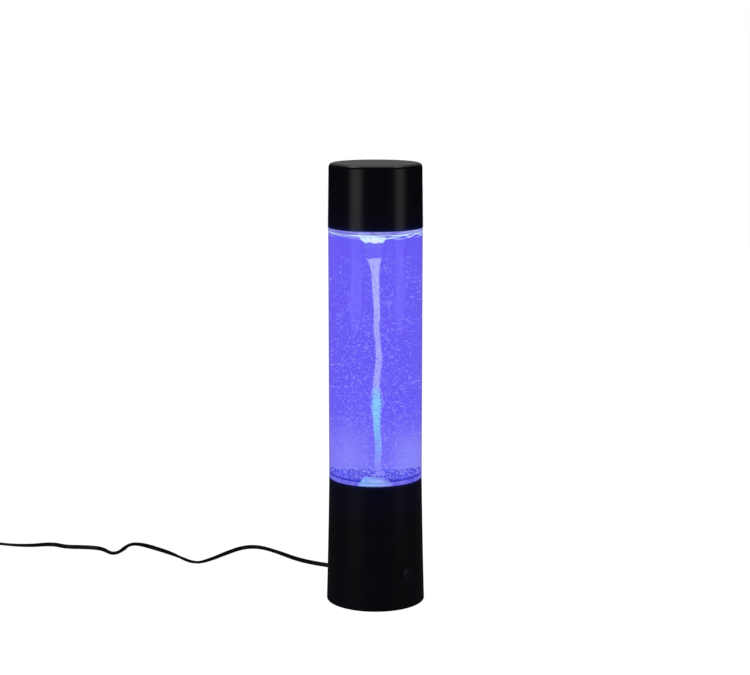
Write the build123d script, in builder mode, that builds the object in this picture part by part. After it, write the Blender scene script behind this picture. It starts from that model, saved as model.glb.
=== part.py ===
from build123d import *
import os
from math import pi, radians, sqrt, tan

import numpy as np

# A water-vortex table lamp: a round base with a magnetic stirrer and a ring of LEDs, a clear tube full
# of water and a lift-off cap. The base stands on z = 0, the button faces -Y and the cord leaves at +Y.
# All sizes are millimetres.

os.makedirs("parts", exist_ok=True)

# Overall sizes
tube_outer_diameter = 80.0
tube_wall = 3.0
tube_length = 216.0
base_height = 109.5
cap_height = 54.5
overrun = 1.0  # how far a cut runs past the face it opens
hole_clearance = 0.05  # radial room round a fixed screw or pin
face_gap = 0.2  # between flat faces of bodies that lift apart
arc_share = 0.45  # of the shorter run, taken by the arc at a cord's corner

tube_outer_radius = tube_outer_diameter / 2
tube_inner_radius = tube_outer_radius - tube_wall
tube_top_z = base_height + tube_length
lamp_top_z = tube_top_z + cap_height

# Base shell
base_flare = 2.45  # how much further out the wall stands at the foot than at the tube
base_flare_sag = 0.18  # depth of the wall's hollow curve
base_wall = 2.5
base_edge_radius = 0.8
foot_gap = 0.6  # from the table to the shell's edge
ledge_depth = 16.5  # from the shell's rim down to the ledge that carries the tube seat
ledge_thickness = 3.0
ledge_width = 6.6

# Tube seat, the clear cup under the tube
seat_clearance = 0.15  # in the tube and in the shell's bore
seat_floor = 3.0
seat_wall = 4.5
seat_rim_wall = 1.5
seat_rim_height = 6.0  # how far the rim stands up inside the tube
disc_seat_rise = 2.2  # from the tube's foot up to the step that carries the flow disc
pin_boss_radius = 4.5
pin_boss_height = 0.6

# Flow disc
disc_thickness = 1.5
disc_eye_radius = 7.0
disc_hole_radius = 1.8
disc_hole_rings = [(0.4, 12), (0.6, 18), (0.8, 24)]  # share of the disc's radius, number of holes

# Water and its vortex
water_air_gap = 4.4  # from the water's edge up to the tube's rim
water_gap = 0.1
funnel_mouth_radius = 11.0
funnel_bowl_radius = 9.2
funnel_throat_radius = 3.8
funnel_core_radius = 2.3
funnel_foot_radius = 1.8
dish_edge_slope = (-1.0, -0.1)
dish_mouth_slope = (-1.0, -0.3)
funnel_lip_slope = (-0.45, -1.0)
funnel_dish_depth = 2.0  # all depths are from the water's edge at the tube
funnel_bowl_depth = 8.6
funnel_throat_depth = 22.1
funnel_core_depth = 37.1

# Impeller and its pin
impeller_radius = 16.0
impeller_disc_thickness = 4.0
impeller_hub_radius = 4.5
blade_count = 6
blade_height = 5.5
blade_thickness = 1.2
pin_radius = 1.5
pin_sink = 1.8  # depth of the pin in the seat's floor
pin_running_clearance = 0.05
washer_radius = 4.0
washer_thickness = 0.4
axial_play = 0.15

# Magnets of the impeller and of the carrier
magnet_count = 4
magnet_radius = 3.0
magnet_ring_radius = 10.0
magnet_thickness = 2.8
magnet_cover = 0.2  # recess of a magnet below the face it sits in

# Magnet carrier on the motor's shaft
carrier_radius = 14.0
carrier_thickness = 4.5
carrier_hub_radius = 4.0
carrier_hub_height = 2.4
carrier_gap = 1.5  # under the seat's floor
shaft_radius = 1.0
shaft_running_clearance = 0.05
shaft_grip = 4.0  # depth of the shaft in the carrier's plate above the hub

# Motor
motor_radius = 12.2
motor_length = 12.3
motor_boss_radius = 3.0
motor_boss_height = 1.2
motor_cap_radius = 10.0
motor_cap_thickness = 1.8
terminal_spacing = 10.0
terminal_width = 2.0
terminal_thickness = 0.5
terminal_length = 2.0
motor_screw_spacing = 17.0

# Motor mount
mount_thickness = 2.5
mount_inset = 6.5  # from the screws' circle in to the mount's round edge
mount_boss_height = 7.0  # bosses that hang from the ledge
mount_boss_radius = 3.5
mount_ring_inset = 3.65  # from the shell's bore in to the mount screws' circle
mount_arm_width = 8.0
mount_start_angle = 90.0
mount_screw_count = 3
mount_wire_slot = (11.0, 4.0)
mount_wire_slot_inset = 5.0  # from the mount's edge in to the slot's middle

# LED board
led_board_overhang = 2.0  # of the LED board over the mount's edge
led_board_width = 12.0
led_board_thickness = 1.6
led_peg_height = 5.0
led_peg_radius = 1.8
led_pip_radius = 0.9
led_pip_height = 2.2
led_peg_inset = 4.0  # from the LED board's edge in to the pegs' circle
led_peg_start_angle = 60.0
led_count = 6
led_size = 5.0
led_height = 1.6
led_ring_inset = 6.5  # from the LED board's edge in to the LEDs' circle
led_start_angle = 30.0

# Screws
small_head_radius = 2.0
small_head_height = 1.4
small_shank_radius = 1.0
seat_ring_inset = 2.25  # from the seat's edge in to the seat screws' circle
seat_screw_length = 9.0
mount_screw_length = 8.0
motor_screw_length = 5.0
cover_head_radius = 2.6
cover_head_height = 1.8
cover_shank_radius = 1.4
cover_screw_length = 11.0
cross_width = 0.7
cross_length_share = 1.2  # of the head's radius
cross_depth_share = 0.5  # of the head's height

# Bottom cover and feet
cover_recess = 1.6  # from the shell's edge up to the cover
cover_thickness = 2.5
cover_clearance = 0.3
cover_counterbore = 1.0
cover_screw_count = 4
cover_start_angle = 45.0
cover_boss_radius = 3.6
cover_boss_height = 14.0
cover_boss_bite = 0.3  # how far a boss runs into the shell's wall
foot_radius = 5.0
foot_recess = 0.8
foot_ring_share = 0.7  # of the tube's outer radius
foot_count = 4

# Control board, standing on the cover between two guides
board_width_share = 0.75  # of the tube's outer radius
board_height = 42.0
board_thickness = 1.6
board_front_share = 0.7  # of the tube's outer radius
guide_width = 5.0
guide_depth = 5.6
guide_height = 31.0
guide_overlap = 1.0
guide_clearance = 0.1

# Button and its switch
button_z = 30.0
button_radius = 5.9
button_gap = 0.3  # round the button in its hole
button_edge_proud = 0.1  # of the wall beside it
button_dome = 0.8
button_flange_width = 1.3
button_flange_thickness = 1.2
button_flange_gap = 0.3
button_stem_radius = 2.0
button_travel = 1.0
switch_size = 6.0
switch_depth = 3.5
plunger_radius = 1.6
plunger_clearance = 0.1
plunger_proud = 1.7
plunger_sink = 0.9

# Board components: centre across and up as shares of the board, then width and height
connector_depth = 6.0
power_connector = (0.3, 0.26, 7.0, 6.0)
motor_connector = (-0.33, 0.71, 6.0, 5.0)
led_connector = (0.0, 0.9, 10.0, 5.0)
chip = (-0.06, 0.48, 6.0, 5.0)
chip_depth = 1.4
capacitor = (0.3, 0.66)
capacitor_radius = 2.6
capacitor_length = 6.5

# Cap
cap_draft = 0.8  # how much narrower the cap's radius is at the top
cap_overhang = 0.3  # of the cap's foot over the tube
cap_wall = 2.2
cap_roof = 2.5
cap_top_radius = 3.5
cap_rib_count = 6
cap_rib_thickness = 1.6
cap_rib_width = 3.0

# Plug under the cap
plug_plate_thickness = 2.5
plug_clearance = 0.15
plug_collar_height = 10.0
plug_collar_wall = 2.4
plug_skirt_depth = 4.0
plug_skirt_wall = 2.5
plug_skirt_clearance = 0.4
seal_groove_depth = 1.2
seal_groove_width = 1.9
seal_groove_drop = 1.0  # from the plate down to the groove
seal_radius = 0.75

# Cord grommet
cord_width = 3.6
cord_exit_z = 10.2
grommet_neck_radius = 3.7
grommet_hole_clearance = 0.1
grommet_flange_radius = 4.8
grommet_outer_flange = 1.2
grommet_inner_flange = 1.5
grommet_wall_gap = 0.05
grommet_nose_radius = 3.4
grommet_tip_radius = 2.5
grommet_nose_length = 5.4

# Wires inside the base
wire_radius = 0.6
wire_pitch = 2.0
wire_lead_out = 5.4  # straight out of a connector or the grommet

# Cord coil, its tie and the cord's end
cord_floor_gap = 0.1
exit_run = 8.0  # level run out of the grommet
run_in_length = 15.0  # straight run into the coil
cord_turn_gap = 0.45
coil_offset = (-213.0, 318.0)  # of the coil's centre from the grommet's tip
coil_start_angle = 50.0
coil_outer_radius = 27.0
coil_half_turns_in = 7
coil_half_turns_out = 6
tail_drop = 0.55  # how far the tail comes down before it is clear of the coil
tie_width = 6.0
tie_thickness = 0.8
tie_gap = 0.25
tie_angle = 230.0
relief_length = 8.0
relief_tip_radius = 2.5
plug_relief_radius = 3.3
plug_length = 26.0
plug_width = 16.0
plug_height = 7.6
plug_corner_radius = 2.0
sleeve_width = 12.0
sleeve_height = 4.5
sleeve_wall = 0.35
sleeve_length = 12.0
tongue_thickness = 1.9
tongue_setback = 0.5
tongue_side_gap = 0.1


def base_outer_radius(z):
    """Outer radius of the flared wall at height z: a straight taper less the sag of its hollow curve."""
    share = (z - foot_gap) / (base_height - foot_gap)
    taper = tube_outer_radius + base_flare * (1 - share)
    return taper - 4 * base_flare_sag * share * (1 - share)


def base_inner_radius(z):
    """Inner radius of the flared wall at height z."""
    return base_outer_radius(z) - base_wall


def screw_ring(ring_radius, count, start_angle, seat_z, head, shank, up=1):
    """Cross-head screws on a circle, with heads below seat_z and shanks above it, or turned over with up = -1.

    head is a radius and a height, and shank is a radius and a length."""
    head_radius, head_height = head
    shank_radius, shank_length = shank
    with BuildPart() as screws:
        with BuildSketch(Plane.XY.offset(seat_z)):
            with PolarLocations(ring_radius, count, start_angle):
                Circle(head_radius)
        extrude(amount=-up * head_height)
        with BuildSketch(Plane.XY.offset(seat_z)):
            with PolarLocations(ring_radius, count, start_angle):
                Circle(shank_radius)
        extrude(amount=up * shank_length)
        with BuildSketch(Plane.XY.offset(seat_z - up * head_height)):
            with PolarLocations(ring_radius, count, start_angle):
                Rectangle(cross_length_share * head_radius, cross_width)
                Rectangle(cross_width, cross_length_share * head_radius)
        extrude(amount=up * cross_depth_share * head_height, mode=Mode.SUBTRACT)
    return screws


def corner_radii(points):
    """The arc radius at each inner point of a route: a share of the shorter run, over the tangent of half the turn."""
    radii = []
    for before, corner, after in zip(points, points[1:], points[2:]):
        run_in = Vector(*corner) - Vector(*before)
        run_out = Vector(*after) - Vector(*corner)
        half_turn = radians(run_in.get_angle(run_out)) / 2
        radii.append(arc_share * min(run_in.length, run_out.length) / tan(half_turn))
    return radii


def report_tube(name, solid, path, radius, radii=()):
    """Print a tube's length, its arc radii and its volume against its section times its length."""
    length = sum(edge.length for edge in path.edges())
    share = solid.volume / (pi * radius**2 * length)
    print(f"{name}: length {length:.1f}, volume share {share:.4f}", [round(r, 1) for r in radii])
    return length


# Heights that the base's pieces share
ledge_top_z = base_height - ledge_depth
ledge_bottom_z = ledge_top_z - ledge_thickness
seat_radius = tube_inner_radius - seat_clearance
seat_bore_radius = seat_radius + 2 * seat_clearance
seat_floor_z = ledge_top_z + seat_floor
disc_seat_z = base_height + disc_seat_rise
disc_top_z = disc_seat_z + disc_thickness
mount_top_z = ledge_bottom_z - mount_boss_height
mount_bottom_z = mount_top_z - mount_thickness
cover_bottom_z = foot_gap + cover_recess
cover_top_z = cover_bottom_z + cover_thickness
cover_boss_ring_radius = base_inner_radius(cover_top_z) + cover_boss_bite - cover_boss_radius
seat_ring_radius = seat_radius - seat_ring_inset
mount_ring_radius = seat_bore_radius - mount_ring_inset
mount_radius = mount_ring_radius - mount_inset
mount_wire_slot_y = mount_wire_slot_inset - mount_radius
led_board_outer_radius = mount_radius + led_board_overhang
led_board_inner_radius = led_board_outer_radius - led_board_width
led_peg_ring_radius = led_board_outer_radius - led_peg_inset
led_ring_radius = led_board_outer_radius - led_ring_inset
foot_ring_radius = foot_ring_share * tube_outer_radius
board_width = board_width_share * tube_outer_radius
board_front_y = -board_front_share * tube_outer_radius
small_head = (small_head_radius, small_head_height)
cover_head = (cover_head_radius, cover_head_height)

# Base shell: the flared wall and its ledge are revolved, then the bosses and holes are added
wall_middle_z = (foot_gap + base_height) / 2
inner_middle_z = (foot_gap + ledge_bottom_z) / 2
with BuildPart() as base_shell:
    with BuildSketch(Plane.XZ) as shell_profile:
        with BuildLine():
            Line((base_inner_radius(foot_gap), foot_gap), (base_outer_radius(foot_gap), foot_gap))
            ThreePointArc(
                (base_outer_radius(foot_gap), foot_gap),
                (base_outer_radius(wall_middle_z), wall_middle_z),
                (tube_outer_radius, base_height),
            )
            Polyline(
                (tube_outer_radius, base_height),
                (seat_bore_radius, base_height),
                (seat_bore_radius, ledge_top_z),
                (seat_bore_radius - ledge_width, ledge_top_z),
                (seat_bore_radius - ledge_width, ledge_bottom_z),
                (base_inner_radius(ledge_bottom_z), ledge_bottom_z),
            )
            ThreePointArc(
                (base_inner_radius(ledge_bottom_z), ledge_bottom_z),
                (base_inner_radius(inner_middle_z), inner_middle_z),
                (base_inner_radius(foot_gap), foot_gap),
            )
        make_face()
        fillet(shell_profile.vertices().sort_by(Axis.X)[-1], radius=base_edge_radius)
    revolve(axis=Axis.Z)
    with BuildSketch(Plane.XY.offset(ledge_bottom_z)):
        with PolarLocations(mount_ring_radius, mount_screw_count, mount_start_angle):
            Circle(mount_boss_radius)
    extrude(amount=-mount_boss_height)
    with BuildSketch(Plane.XY.offset(mount_top_z)):
        with PolarLocations(mount_ring_radius, mount_screw_count, mount_start_angle):
            Circle(small_shank_radius + hole_clearance)
    extrude(amount=mount_screw_length, mode=Mode.SUBTRACT)
    with BuildSketch(Plane.XY.offset(cover_top_z)):
        with PolarLocations(cover_boss_ring_radius, cover_screw_count, cover_start_angle):
            Circle(cover_boss_radius)
    extrude(amount=cover_boss_height)
    with BuildSketch(Plane.XY.offset(cover_top_z)):
        with PolarLocations(cover_boss_ring_radius, cover_screw_count, cover_start_angle):
            Circle(cover_shank_radius + hole_clearance)
    extrude(amount=cover_screw_length, mode=Mode.SUBTRACT)
    with BuildSketch(Plane.XY.offset(ledge_bottom_z)):
        with PolarLocations(seat_ring_radius, mount_screw_count, mount_start_angle - 180 / mount_screw_count):
            Circle(small_shank_radius + hole_clearance)
    extrude(amount=ledge_thickness, mode=Mode.SUBTRACT)
    with BuildSketch(Plane.XZ):
        with Locations((0, button_z)):
            Circle(button_radius + button_gap)
    extrude(amount=base_outer_radius(0) + overrun, mode=Mode.SUBTRACT)
    with BuildSketch(Plane.XZ):
        with Locations((0, cord_exit_z)):
            Circle(grommet_neck_radius + grommet_hole_clearance)
    extrude(amount=-base_outer_radius(0) - overrun, mode=Mode.SUBTRACT)
base_shell.part.label = "base_shell"
export_step(base_shell.part, "parts/base_shell.step")

# Bottom cover: a disc with four counterbored screw holes, four foot recesses and the control board's guides
cover_radius = base_inner_radius(cover_top_z) - cover_clearance
guide_x = board_width / 2 - guide_overlap + guide_width / 2
board_middle_y = board_front_y + board_thickness / 2
with BuildPart() as bottom_cover:
    with BuildSketch(Plane.XY.offset(cover_bottom_z)):
        Circle(cover_radius)
    extrude(amount=cover_thickness)
    with BuildSketch(Plane.XY.offset(cover_top_z)):
        with Locations((-guide_x, board_middle_y), (guide_x, board_middle_y)):
            Rectangle(guide_width, guide_depth)
    extrude(amount=guide_height)
    with BuildSketch(Plane.XY.offset(cover_top_z)):
        with Locations((0, board_middle_y)):
            Rectangle(board_width + 2 * guide_clearance, board_thickness + 2 * guide_clearance)
    extrude(amount=guide_height, mode=Mode.SUBTRACT)
    with BuildSketch(Plane.XY.offset(cover_bottom_z)):
        with PolarLocations(cover_boss_ring_radius, cover_screw_count, cover_start_angle):
            Circle(cover_shank_radius + hole_clearance)
    extrude(amount=cover_thickness, mode=Mode.SUBTRACT)
    with BuildSketch(Plane.XY.offset(cover_bottom_z)):
        with PolarLocations(cover_boss_ring_radius, cover_screw_count, cover_start_angle):
            Circle(cover_head_radius + cover_clearance)
    extrude(amount=cover_counterbore, mode=Mode.SUBTRACT)
    with BuildSketch(Plane.XY.offset(cover_bottom_z)):
        with PolarLocations(foot_ring_radius, foot_count):
            Circle(foot_radius)
    extrude(amount=foot_recess, mode=Mode.SUBTRACT)
bottom_cover.part.label = "bottom_cover"
export_step(bottom_cover.part, "parts/bottom_cover.step")

cover_screws = screw_ring(
    cover_boss_ring_radius,
    cover_screw_count,
    cover_start_angle,
    cover_bottom_z + cover_counterbore,
    cover_head,
    (cover_shank_radius, cover_screw_length),
)
cover_screws.part.label = "cover_screws"
export_step(cover_screws.part, "parts/cover_screws.step")

# Rubber feet: four pads that stick in the cover's recesses and stand on the table
with BuildPart() as rubber_feet:
    with BuildSketch():
        with PolarLocations(foot_ring_radius, foot_count):
            Circle(foot_radius)
    extrude(amount=cover_bottom_z + foot_recess)
    chamfer(rubber_feet.edges().group_by(Axis.Z)[0], length=foot_gap / 2)
rubber_feet.part.label = "rubber_feet"
export_step(rubber_feet.part, "parts/rubber_feet.step")

# Button: a domed cap, a flange behind the wall and a stem, revolved round the button's axis
button_edge_y = -base_outer_radius(button_z) - button_edge_proud
button_flange_radius = button_radius + button_flange_width
flange_wall_radius = base_inner_radius(button_z + button_flange_radius)
button_flange_y = -sqrt(flange_wall_radius**2 - button_flange_radius**2) + button_flange_gap
button_axis = Axis((0, 0, button_z), (0, 1, 0))
switch_front_y = board_front_y - switch_depth
stem_end_y = switch_front_y - plunger_proud
with BuildPart() as mode_button:
    with BuildSketch(Plane.YZ):
        with BuildLine():
            Line((stem_end_y, button_z), (button_edge_y - button_dome, button_z))
            ThreePointArc(
                (button_edge_y - button_dome, button_z),
                (button_edge_y - 3 * button_dome / 4, button_z + button_radius / 2),
                (button_edge_y, button_z + button_radius),
            )
            Polyline(
                (button_edge_y, button_z + button_radius),
                (button_flange_y, button_z + button_radius),
                (button_flange_y, button_z + button_flange_radius),
                (button_flange_y + button_flange_thickness, button_z + button_flange_radius),
                (button_flange_y + button_flange_thickness, button_z + button_stem_radius),
                (stem_end_y, button_z + button_stem_radius),
                (stem_end_y, button_z),
            )
        make_face()
    revolve(axis=button_axis)
mode_button.part.label = "mode_button"
export_step(mode_button.part, "parts/mode_button.step")

with BuildPart() as switch_plunger:
    with BuildSketch(Plane.XZ.offset(-stem_end_y)):
        with Locations((0, button_z)):
            Circle(plunger_radius)
    extrude(amount=-plunger_proud - plunger_sink)
switch_plunger.part.label = "switch_plunger"
export_step(switch_plunger.part, "parts/switch_plunger.step")

with BuildPart() as button_switch:
    with BuildSketch(Plane.XZ.offset(-switch_front_y)):
        with Locations((0, button_z)):
            Rectangle(switch_size, switch_size)
    extrude(amount=-switch_depth)
    with BuildSketch(Plane.XZ.offset(-switch_front_y)):
        with Locations((0, button_z)):
            Circle(plunger_radius + plunger_clearance)
    extrude(amount=-plunger_sink - button_travel - button_flange_gap, mode=Mode.SUBTRACT)
button_switch.part.label = "button_switch"
export_step(button_switch.part, "parts/button_switch.step")

# Control board and its components
board_back_y = board_front_y + board_thickness
with BuildPart() as control_board:
    with BuildSketch(Plane.XY.offset(cover_top_z)):
        with Locations((0, board_middle_y)):
            Rectangle(board_width, board_thickness)
    extrude(amount=board_height)
control_board.part.label = "control_board"
export_step(control_board.part, "parts/control_board.step")

def on_board(across_share, up_share):
    """A place on the control board as x and z, from its shares of the board's width and height."""
    return across_share * board_width, cover_top_z + up_share * board_height


with BuildPart() as board_parts:
    for across, up, width, height in (power_connector, motor_connector, led_connector):
        with BuildSketch(Plane.XZ.offset(-board_back_y)):
            with Locations(on_board(across, up)):
                Rectangle(width, height)
        extrude(amount=-connector_depth)
    with BuildSketch(Plane.XZ.offset(-board_back_y)):
        with Locations(on_board(*chip[:2])):
            Rectangle(*chip[2:])
    extrude(amount=-chip_depth)
    with BuildSketch(Plane.XZ.offset(-board_back_y)):
        with Locations(on_board(*capacitor)):
            Circle(capacitor_radius)
    extrude(amount=-capacitor_length)
board_parts.part.label = "board_parts"
export_step(board_parts.part, "parts/board_parts.step")

# Tube seat: a clear cup that stands on the ledge, with a thin rim that locates the tube
seat_shank_radius = small_shank_radius + hole_clearance
boss_top_z = seat_floor_z + pin_boss_height
seat_rim_radius = seat_radius - seat_rim_wall
seat_rim_z = base_height + seat_rim_height
with BuildPart() as tube_seat:
    with BuildSketch(Plane.XZ):
        with BuildLine():
            Polyline(
                (0, ledge_top_z),
                (seat_radius, ledge_top_z),
                (seat_radius, seat_rim_z),
                (seat_rim_radius, seat_rim_z),
                (seat_rim_radius, disc_seat_z),
                (seat_radius - seat_wall, disc_seat_z),
                (seat_radius - seat_wall, seat_floor_z),
                (pin_boss_radius, seat_floor_z),
                (pin_boss_radius, boss_top_z),
                (0, boss_top_z),
                (0, ledge_top_z),
            )
        make_face()
    revolve(axis=Axis.Z)
    with BuildSketch(Plane.XY.offset(boss_top_z)):
        Circle(pin_radius)
    extrude(amount=-pin_boss_height - pin_sink, mode=Mode.SUBTRACT)
    with BuildSketch(Plane.XY.offset(ledge_top_z)):
        with PolarLocations(seat_ring_radius, mount_screw_count, mount_start_angle - 180 / mount_screw_count):
            Circle(seat_shank_radius)
    extrude(amount=seat_screw_length - ledge_thickness, mode=Mode.SUBTRACT)
tube_seat.part.label = "tube_seat"
export_step(tube_seat.part, "parts/tube_seat.step")

seat_screws = screw_ring(
    seat_ring_radius,
    mount_screw_count,
    mount_start_angle - 180 / mount_screw_count,
    ledge_bottom_z,
    small_head,
    (small_shank_radius, seat_screw_length),
)
seat_screws.part.label = "seat_screws"
export_step(seat_screws.part, "parts/seat_screws.step")

# Impeller: a disc with straight vanes that runs on a steel pin, with magnets in its underside
washer_top_z = boss_top_z + washer_thickness
impeller_bottom_z = washer_top_z + axial_play
impeller_disc_z = impeller_bottom_z + impeller_disc_thickness
impeller_top_z = impeller_disc_z + blade_height
blade_length = impeller_radius - impeller_hub_radius / 2 - blade_thickness
with BuildPart() as impeller_pin:
    with BuildSketch(Plane.XY.offset(seat_floor_z - pin_sink)):
        Circle(pin_radius)
    extrude(amount=impeller_top_z + axial_play - seat_floor_z + pin_sink)
impeller_pin.part.label = "impeller_pin"
export_step(impeller_pin.part, "parts/impeller_pin.step")

with BuildPart() as thrust_washer:
    with BuildSketch(Plane.XY.offset(boss_top_z)):
        Circle(washer_radius)
        Circle(pin_radius + hole_clearance, mode=Mode.SUBTRACT)
    extrude(amount=washer_thickness)
thrust_washer.part.label = "thrust_washer"
export_step(thrust_washer.part, "parts/thrust_washer.step")

with BuildPart() as impeller:
    with BuildSketch(Plane.XY.offset(impeller_bottom_z)):
        Circle(impeller_radius)
    extrude(amount=impeller_disc_thickness)
    with BuildSketch(Plane.XY.offset(impeller_disc_z)):
        Circle(impeller_hub_radius)
        with PolarLocations(impeller_radius - blade_thickness - blade_length / 2, blade_count):
            Rectangle(blade_length, blade_thickness)
    extrude(amount=blade_height)
    with BuildSketch(Plane.XY.offset(impeller_bottom_z)):
        Circle(pin_radius + pin_running_clearance)
    extrude(amount=impeller_disc_thickness + blade_height, mode=Mode.SUBTRACT)
    with BuildSketch(Plane.XY.offset(impeller_bottom_z)):
        with PolarLocations(magnet_ring_radius, magnet_count):
            Circle(magnet_radius)
    extrude(amount=magnet_cover + magnet_thickness, mode=Mode.SUBTRACT)
impeller.part.label = "impeller"
export_step(impeller.part, "parts/impeller.step")

with BuildPart() as impeller_magnets:
    with BuildSketch(Plane.XY.offset(impeller_bottom_z + magnet_cover)):
        with PolarLocations(magnet_ring_radius, magnet_count):
            Circle(magnet_radius)
    extrude(amount=magnet_thickness)
impeller_magnets.part.label = "impeller_magnets"
export_step(impeller_magnets.part, "parts/impeller_magnets.step")

# Flow disc: the perforated disc at the foot of the water
disc_radius = seat_rim_radius - seat_clearance
with BuildPart() as flow_disc:
    with BuildSketch(Plane.XY.offset(disc_seat_z)):
        Circle(disc_radius)
        Circle(disc_eye_radius, mode=Mode.SUBTRACT)
        for ring_share, hole_count in disc_hole_rings:
            with PolarLocations(ring_share * disc_radius, hole_count):
                Circle(disc_hole_radius, mode=Mode.SUBTRACT)
    extrude(amount=disc_thickness)
flow_disc.part.label = "flow_disc"
export_step(flow_disc.part, "parts/flow_disc.step")

# Clear tube, open at both ends
with BuildPart() as clear_tube:
    with BuildSketch(Plane.XY.offset(base_height)):
        Circle(tube_outer_radius)
        Circle(tube_inner_radius, mode=Mode.SUBTRACT)
    extrude(amount=tube_length)
clear_tube.part.label = "clear_tube"
export_step(clear_tube.part, "parts/clear_tube.step")

# Water: it fills the seat's rim and the tube, less the vortex, which is a dish, a bowl, a throat and a long thin core
water_top_z = tube_top_z - water_air_gap
water_bottom_z = disc_top_z + water_gap
with BuildPart() as water_column:
    with BuildSketch(Plane.XZ):
        with BuildLine():
            Polyline(
                (funnel_foot_radius, water_bottom_z),
                (seat_rim_radius - water_gap, water_bottom_z),
                (seat_rim_radius - water_gap, seat_rim_z + water_gap),
                (tube_inner_radius - water_gap, seat_rim_z + water_gap),
                (tube_inner_radius - water_gap, water_top_z),
            )
            Spline(
                (tube_inner_radius - water_gap, water_top_z),
                (funnel_mouth_radius, water_top_z - funnel_dish_depth),
                tangents=(dish_edge_slope, dish_mouth_slope),
            )
            Spline(
                (funnel_mouth_radius, water_top_z - funnel_dish_depth),
                (funnel_bowl_radius, water_top_z - funnel_bowl_depth),
                (funnel_throat_radius, water_top_z - funnel_throat_depth),
                (funnel_core_radius, water_top_z - funnel_core_depth),
                tangents=(funnel_lip_slope, (0, -1)),
            )
            Line((funnel_core_radius, water_top_z - funnel_core_depth), (funnel_foot_radius, water_bottom_z))
        make_face()
    revolve(axis=Axis.Z)
water_column.part.label = "water_column"
export_step(water_column.part, "parts/water_column.step")

# Motor mount: a plate on three arms, screwed to the ledge's bosses, with pegs for the LED board
carrier_top_z = ledge_top_z - carrier_gap
carrier_bottom_z = carrier_top_z - carrier_thickness
hub_bottom_z = carrier_bottom_z - carrier_hub_height
led_board_z = mount_top_z + led_peg_height
with BuildPart() as motor_mount:
    with BuildSketch(Plane.XY.offset(mount_bottom_z)):
        Circle(mount_radius)
        with PolarLocations(mount_ring_radius / 2, mount_screw_count, mount_start_angle):
            Rectangle(mount_ring_radius, mount_arm_width)
        with PolarLocations(mount_ring_radius, mount_screw_count, mount_start_angle):
            Circle(mount_arm_width / 2)
        with PolarLocations(mount_ring_radius, mount_screw_count, mount_start_angle):
            Circle(small_shank_radius + hole_clearance, mode=Mode.SUBTRACT)
        Circle(motor_boss_radius + hole_clearance, mode=Mode.SUBTRACT)
        with Locations((-motor_screw_spacing / 2, 0), (motor_screw_spacing / 2, 0)):
            Circle(small_shank_radius + hole_clearance, mode=Mode.SUBTRACT)
        with Locations((0, mount_wire_slot_y)):
            Rectangle(*mount_wire_slot, mode=Mode.SUBTRACT)
    extrude(amount=mount_thickness)
    with BuildSketch(Plane.XY.offset(mount_top_z)):
        with PolarLocations(led_peg_ring_radius, mount_screw_count, led_peg_start_angle):
            Circle(led_peg_radius)
    extrude(amount=led_peg_height)
    with BuildSketch(Plane.XY.offset(led_board_z)):
        with PolarLocations(led_peg_ring_radius, mount_screw_count, led_peg_start_angle):
            Circle(led_pip_radius)
    extrude(amount=led_pip_height)
motor_mount.part.label = "motor_mount"
export_step(motor_mount.part, "parts/motor_mount.step")

mount_screws = screw_ring(
    mount_ring_radius,
    mount_screw_count,
    mount_start_angle,
    mount_bottom_z,
    small_head,
    (small_shank_radius, mount_screw_length),
)
mount_screws.part.label = "mount_screws"
export_step(mount_screws.part, "parts/mount_screws.step")

# LED ring board and its LEDs
with BuildPart() as led_board:
    with BuildSketch(Plane.XY.offset(led_board_z)):
        Circle(led_board_outer_radius)
        Circle(led_board_inner_radius, mode=Mode.SUBTRACT)
        with PolarLocations(led_peg_ring_radius, mount_screw_count, led_peg_start_angle):
            Circle(led_pip_radius + hole_clearance, mode=Mode.SUBTRACT)
    extrude(amount=led_board_thickness)
led_board.part.label = "led_board"
export_step(led_board.part, "parts/led_board.step")

with BuildPart() as leds:
    with BuildSketch(Plane.XY.offset(led_board_z + led_board_thickness)):
        with PolarLocations(led_ring_radius, led_count, led_start_angle):
            Rectangle(led_size, led_size)
    extrude(amount=led_height)
leds.part.label = "leds"
export_step(leds.part, "parts/leds.step")

# Motor: a steel can under the mount with its boss in the mount's hole, a plastic end cap and two tabs
motor_bottom_z = mount_bottom_z - motor_length
shaft_hole_radius = shaft_radius + shaft_running_clearance
with BuildPart() as motor_can:
    with BuildSketch(Plane.XY.offset(motor_bottom_z)):
        Circle(motor_radius)
    extrude(amount=motor_length)
    fillet(motor_can.edges().group_by(Axis.Z)[-1], radius=motor_cap_thickness / 2)
    with BuildSketch(Plane.XY.offset(mount_bottom_z)):
        Circle(motor_boss_radius)
    extrude(amount=motor_boss_height)
    with BuildSketch(Plane.XY.offset(motor_bottom_z)):
        Circle(shaft_hole_radius)
    extrude(amount=motor_length + motor_boss_height, mode=Mode.SUBTRACT)
    with BuildSketch(Plane.XY.offset(mount_bottom_z)):
        with Locations((-motor_screw_spacing / 2, 0), (motor_screw_spacing / 2, 0)):
            Circle(small_shank_radius + hole_clearance)
    extrude(amount=mount_thickness - motor_screw_length, mode=Mode.SUBTRACT)
motor_can.part.label = "motor_can"
export_step(motor_can.part, "parts/motor_can.step")

with BuildPart() as motor_end_cap:
    with BuildSketch(Plane.XY.offset(motor_bottom_z)):
        Circle(motor_cap_radius)
    extrude(amount=-motor_cap_thickness)
motor_end_cap.part.label = "motor_end_cap"
export_step(motor_end_cap.part, "parts/motor_end_cap.step")

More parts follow.
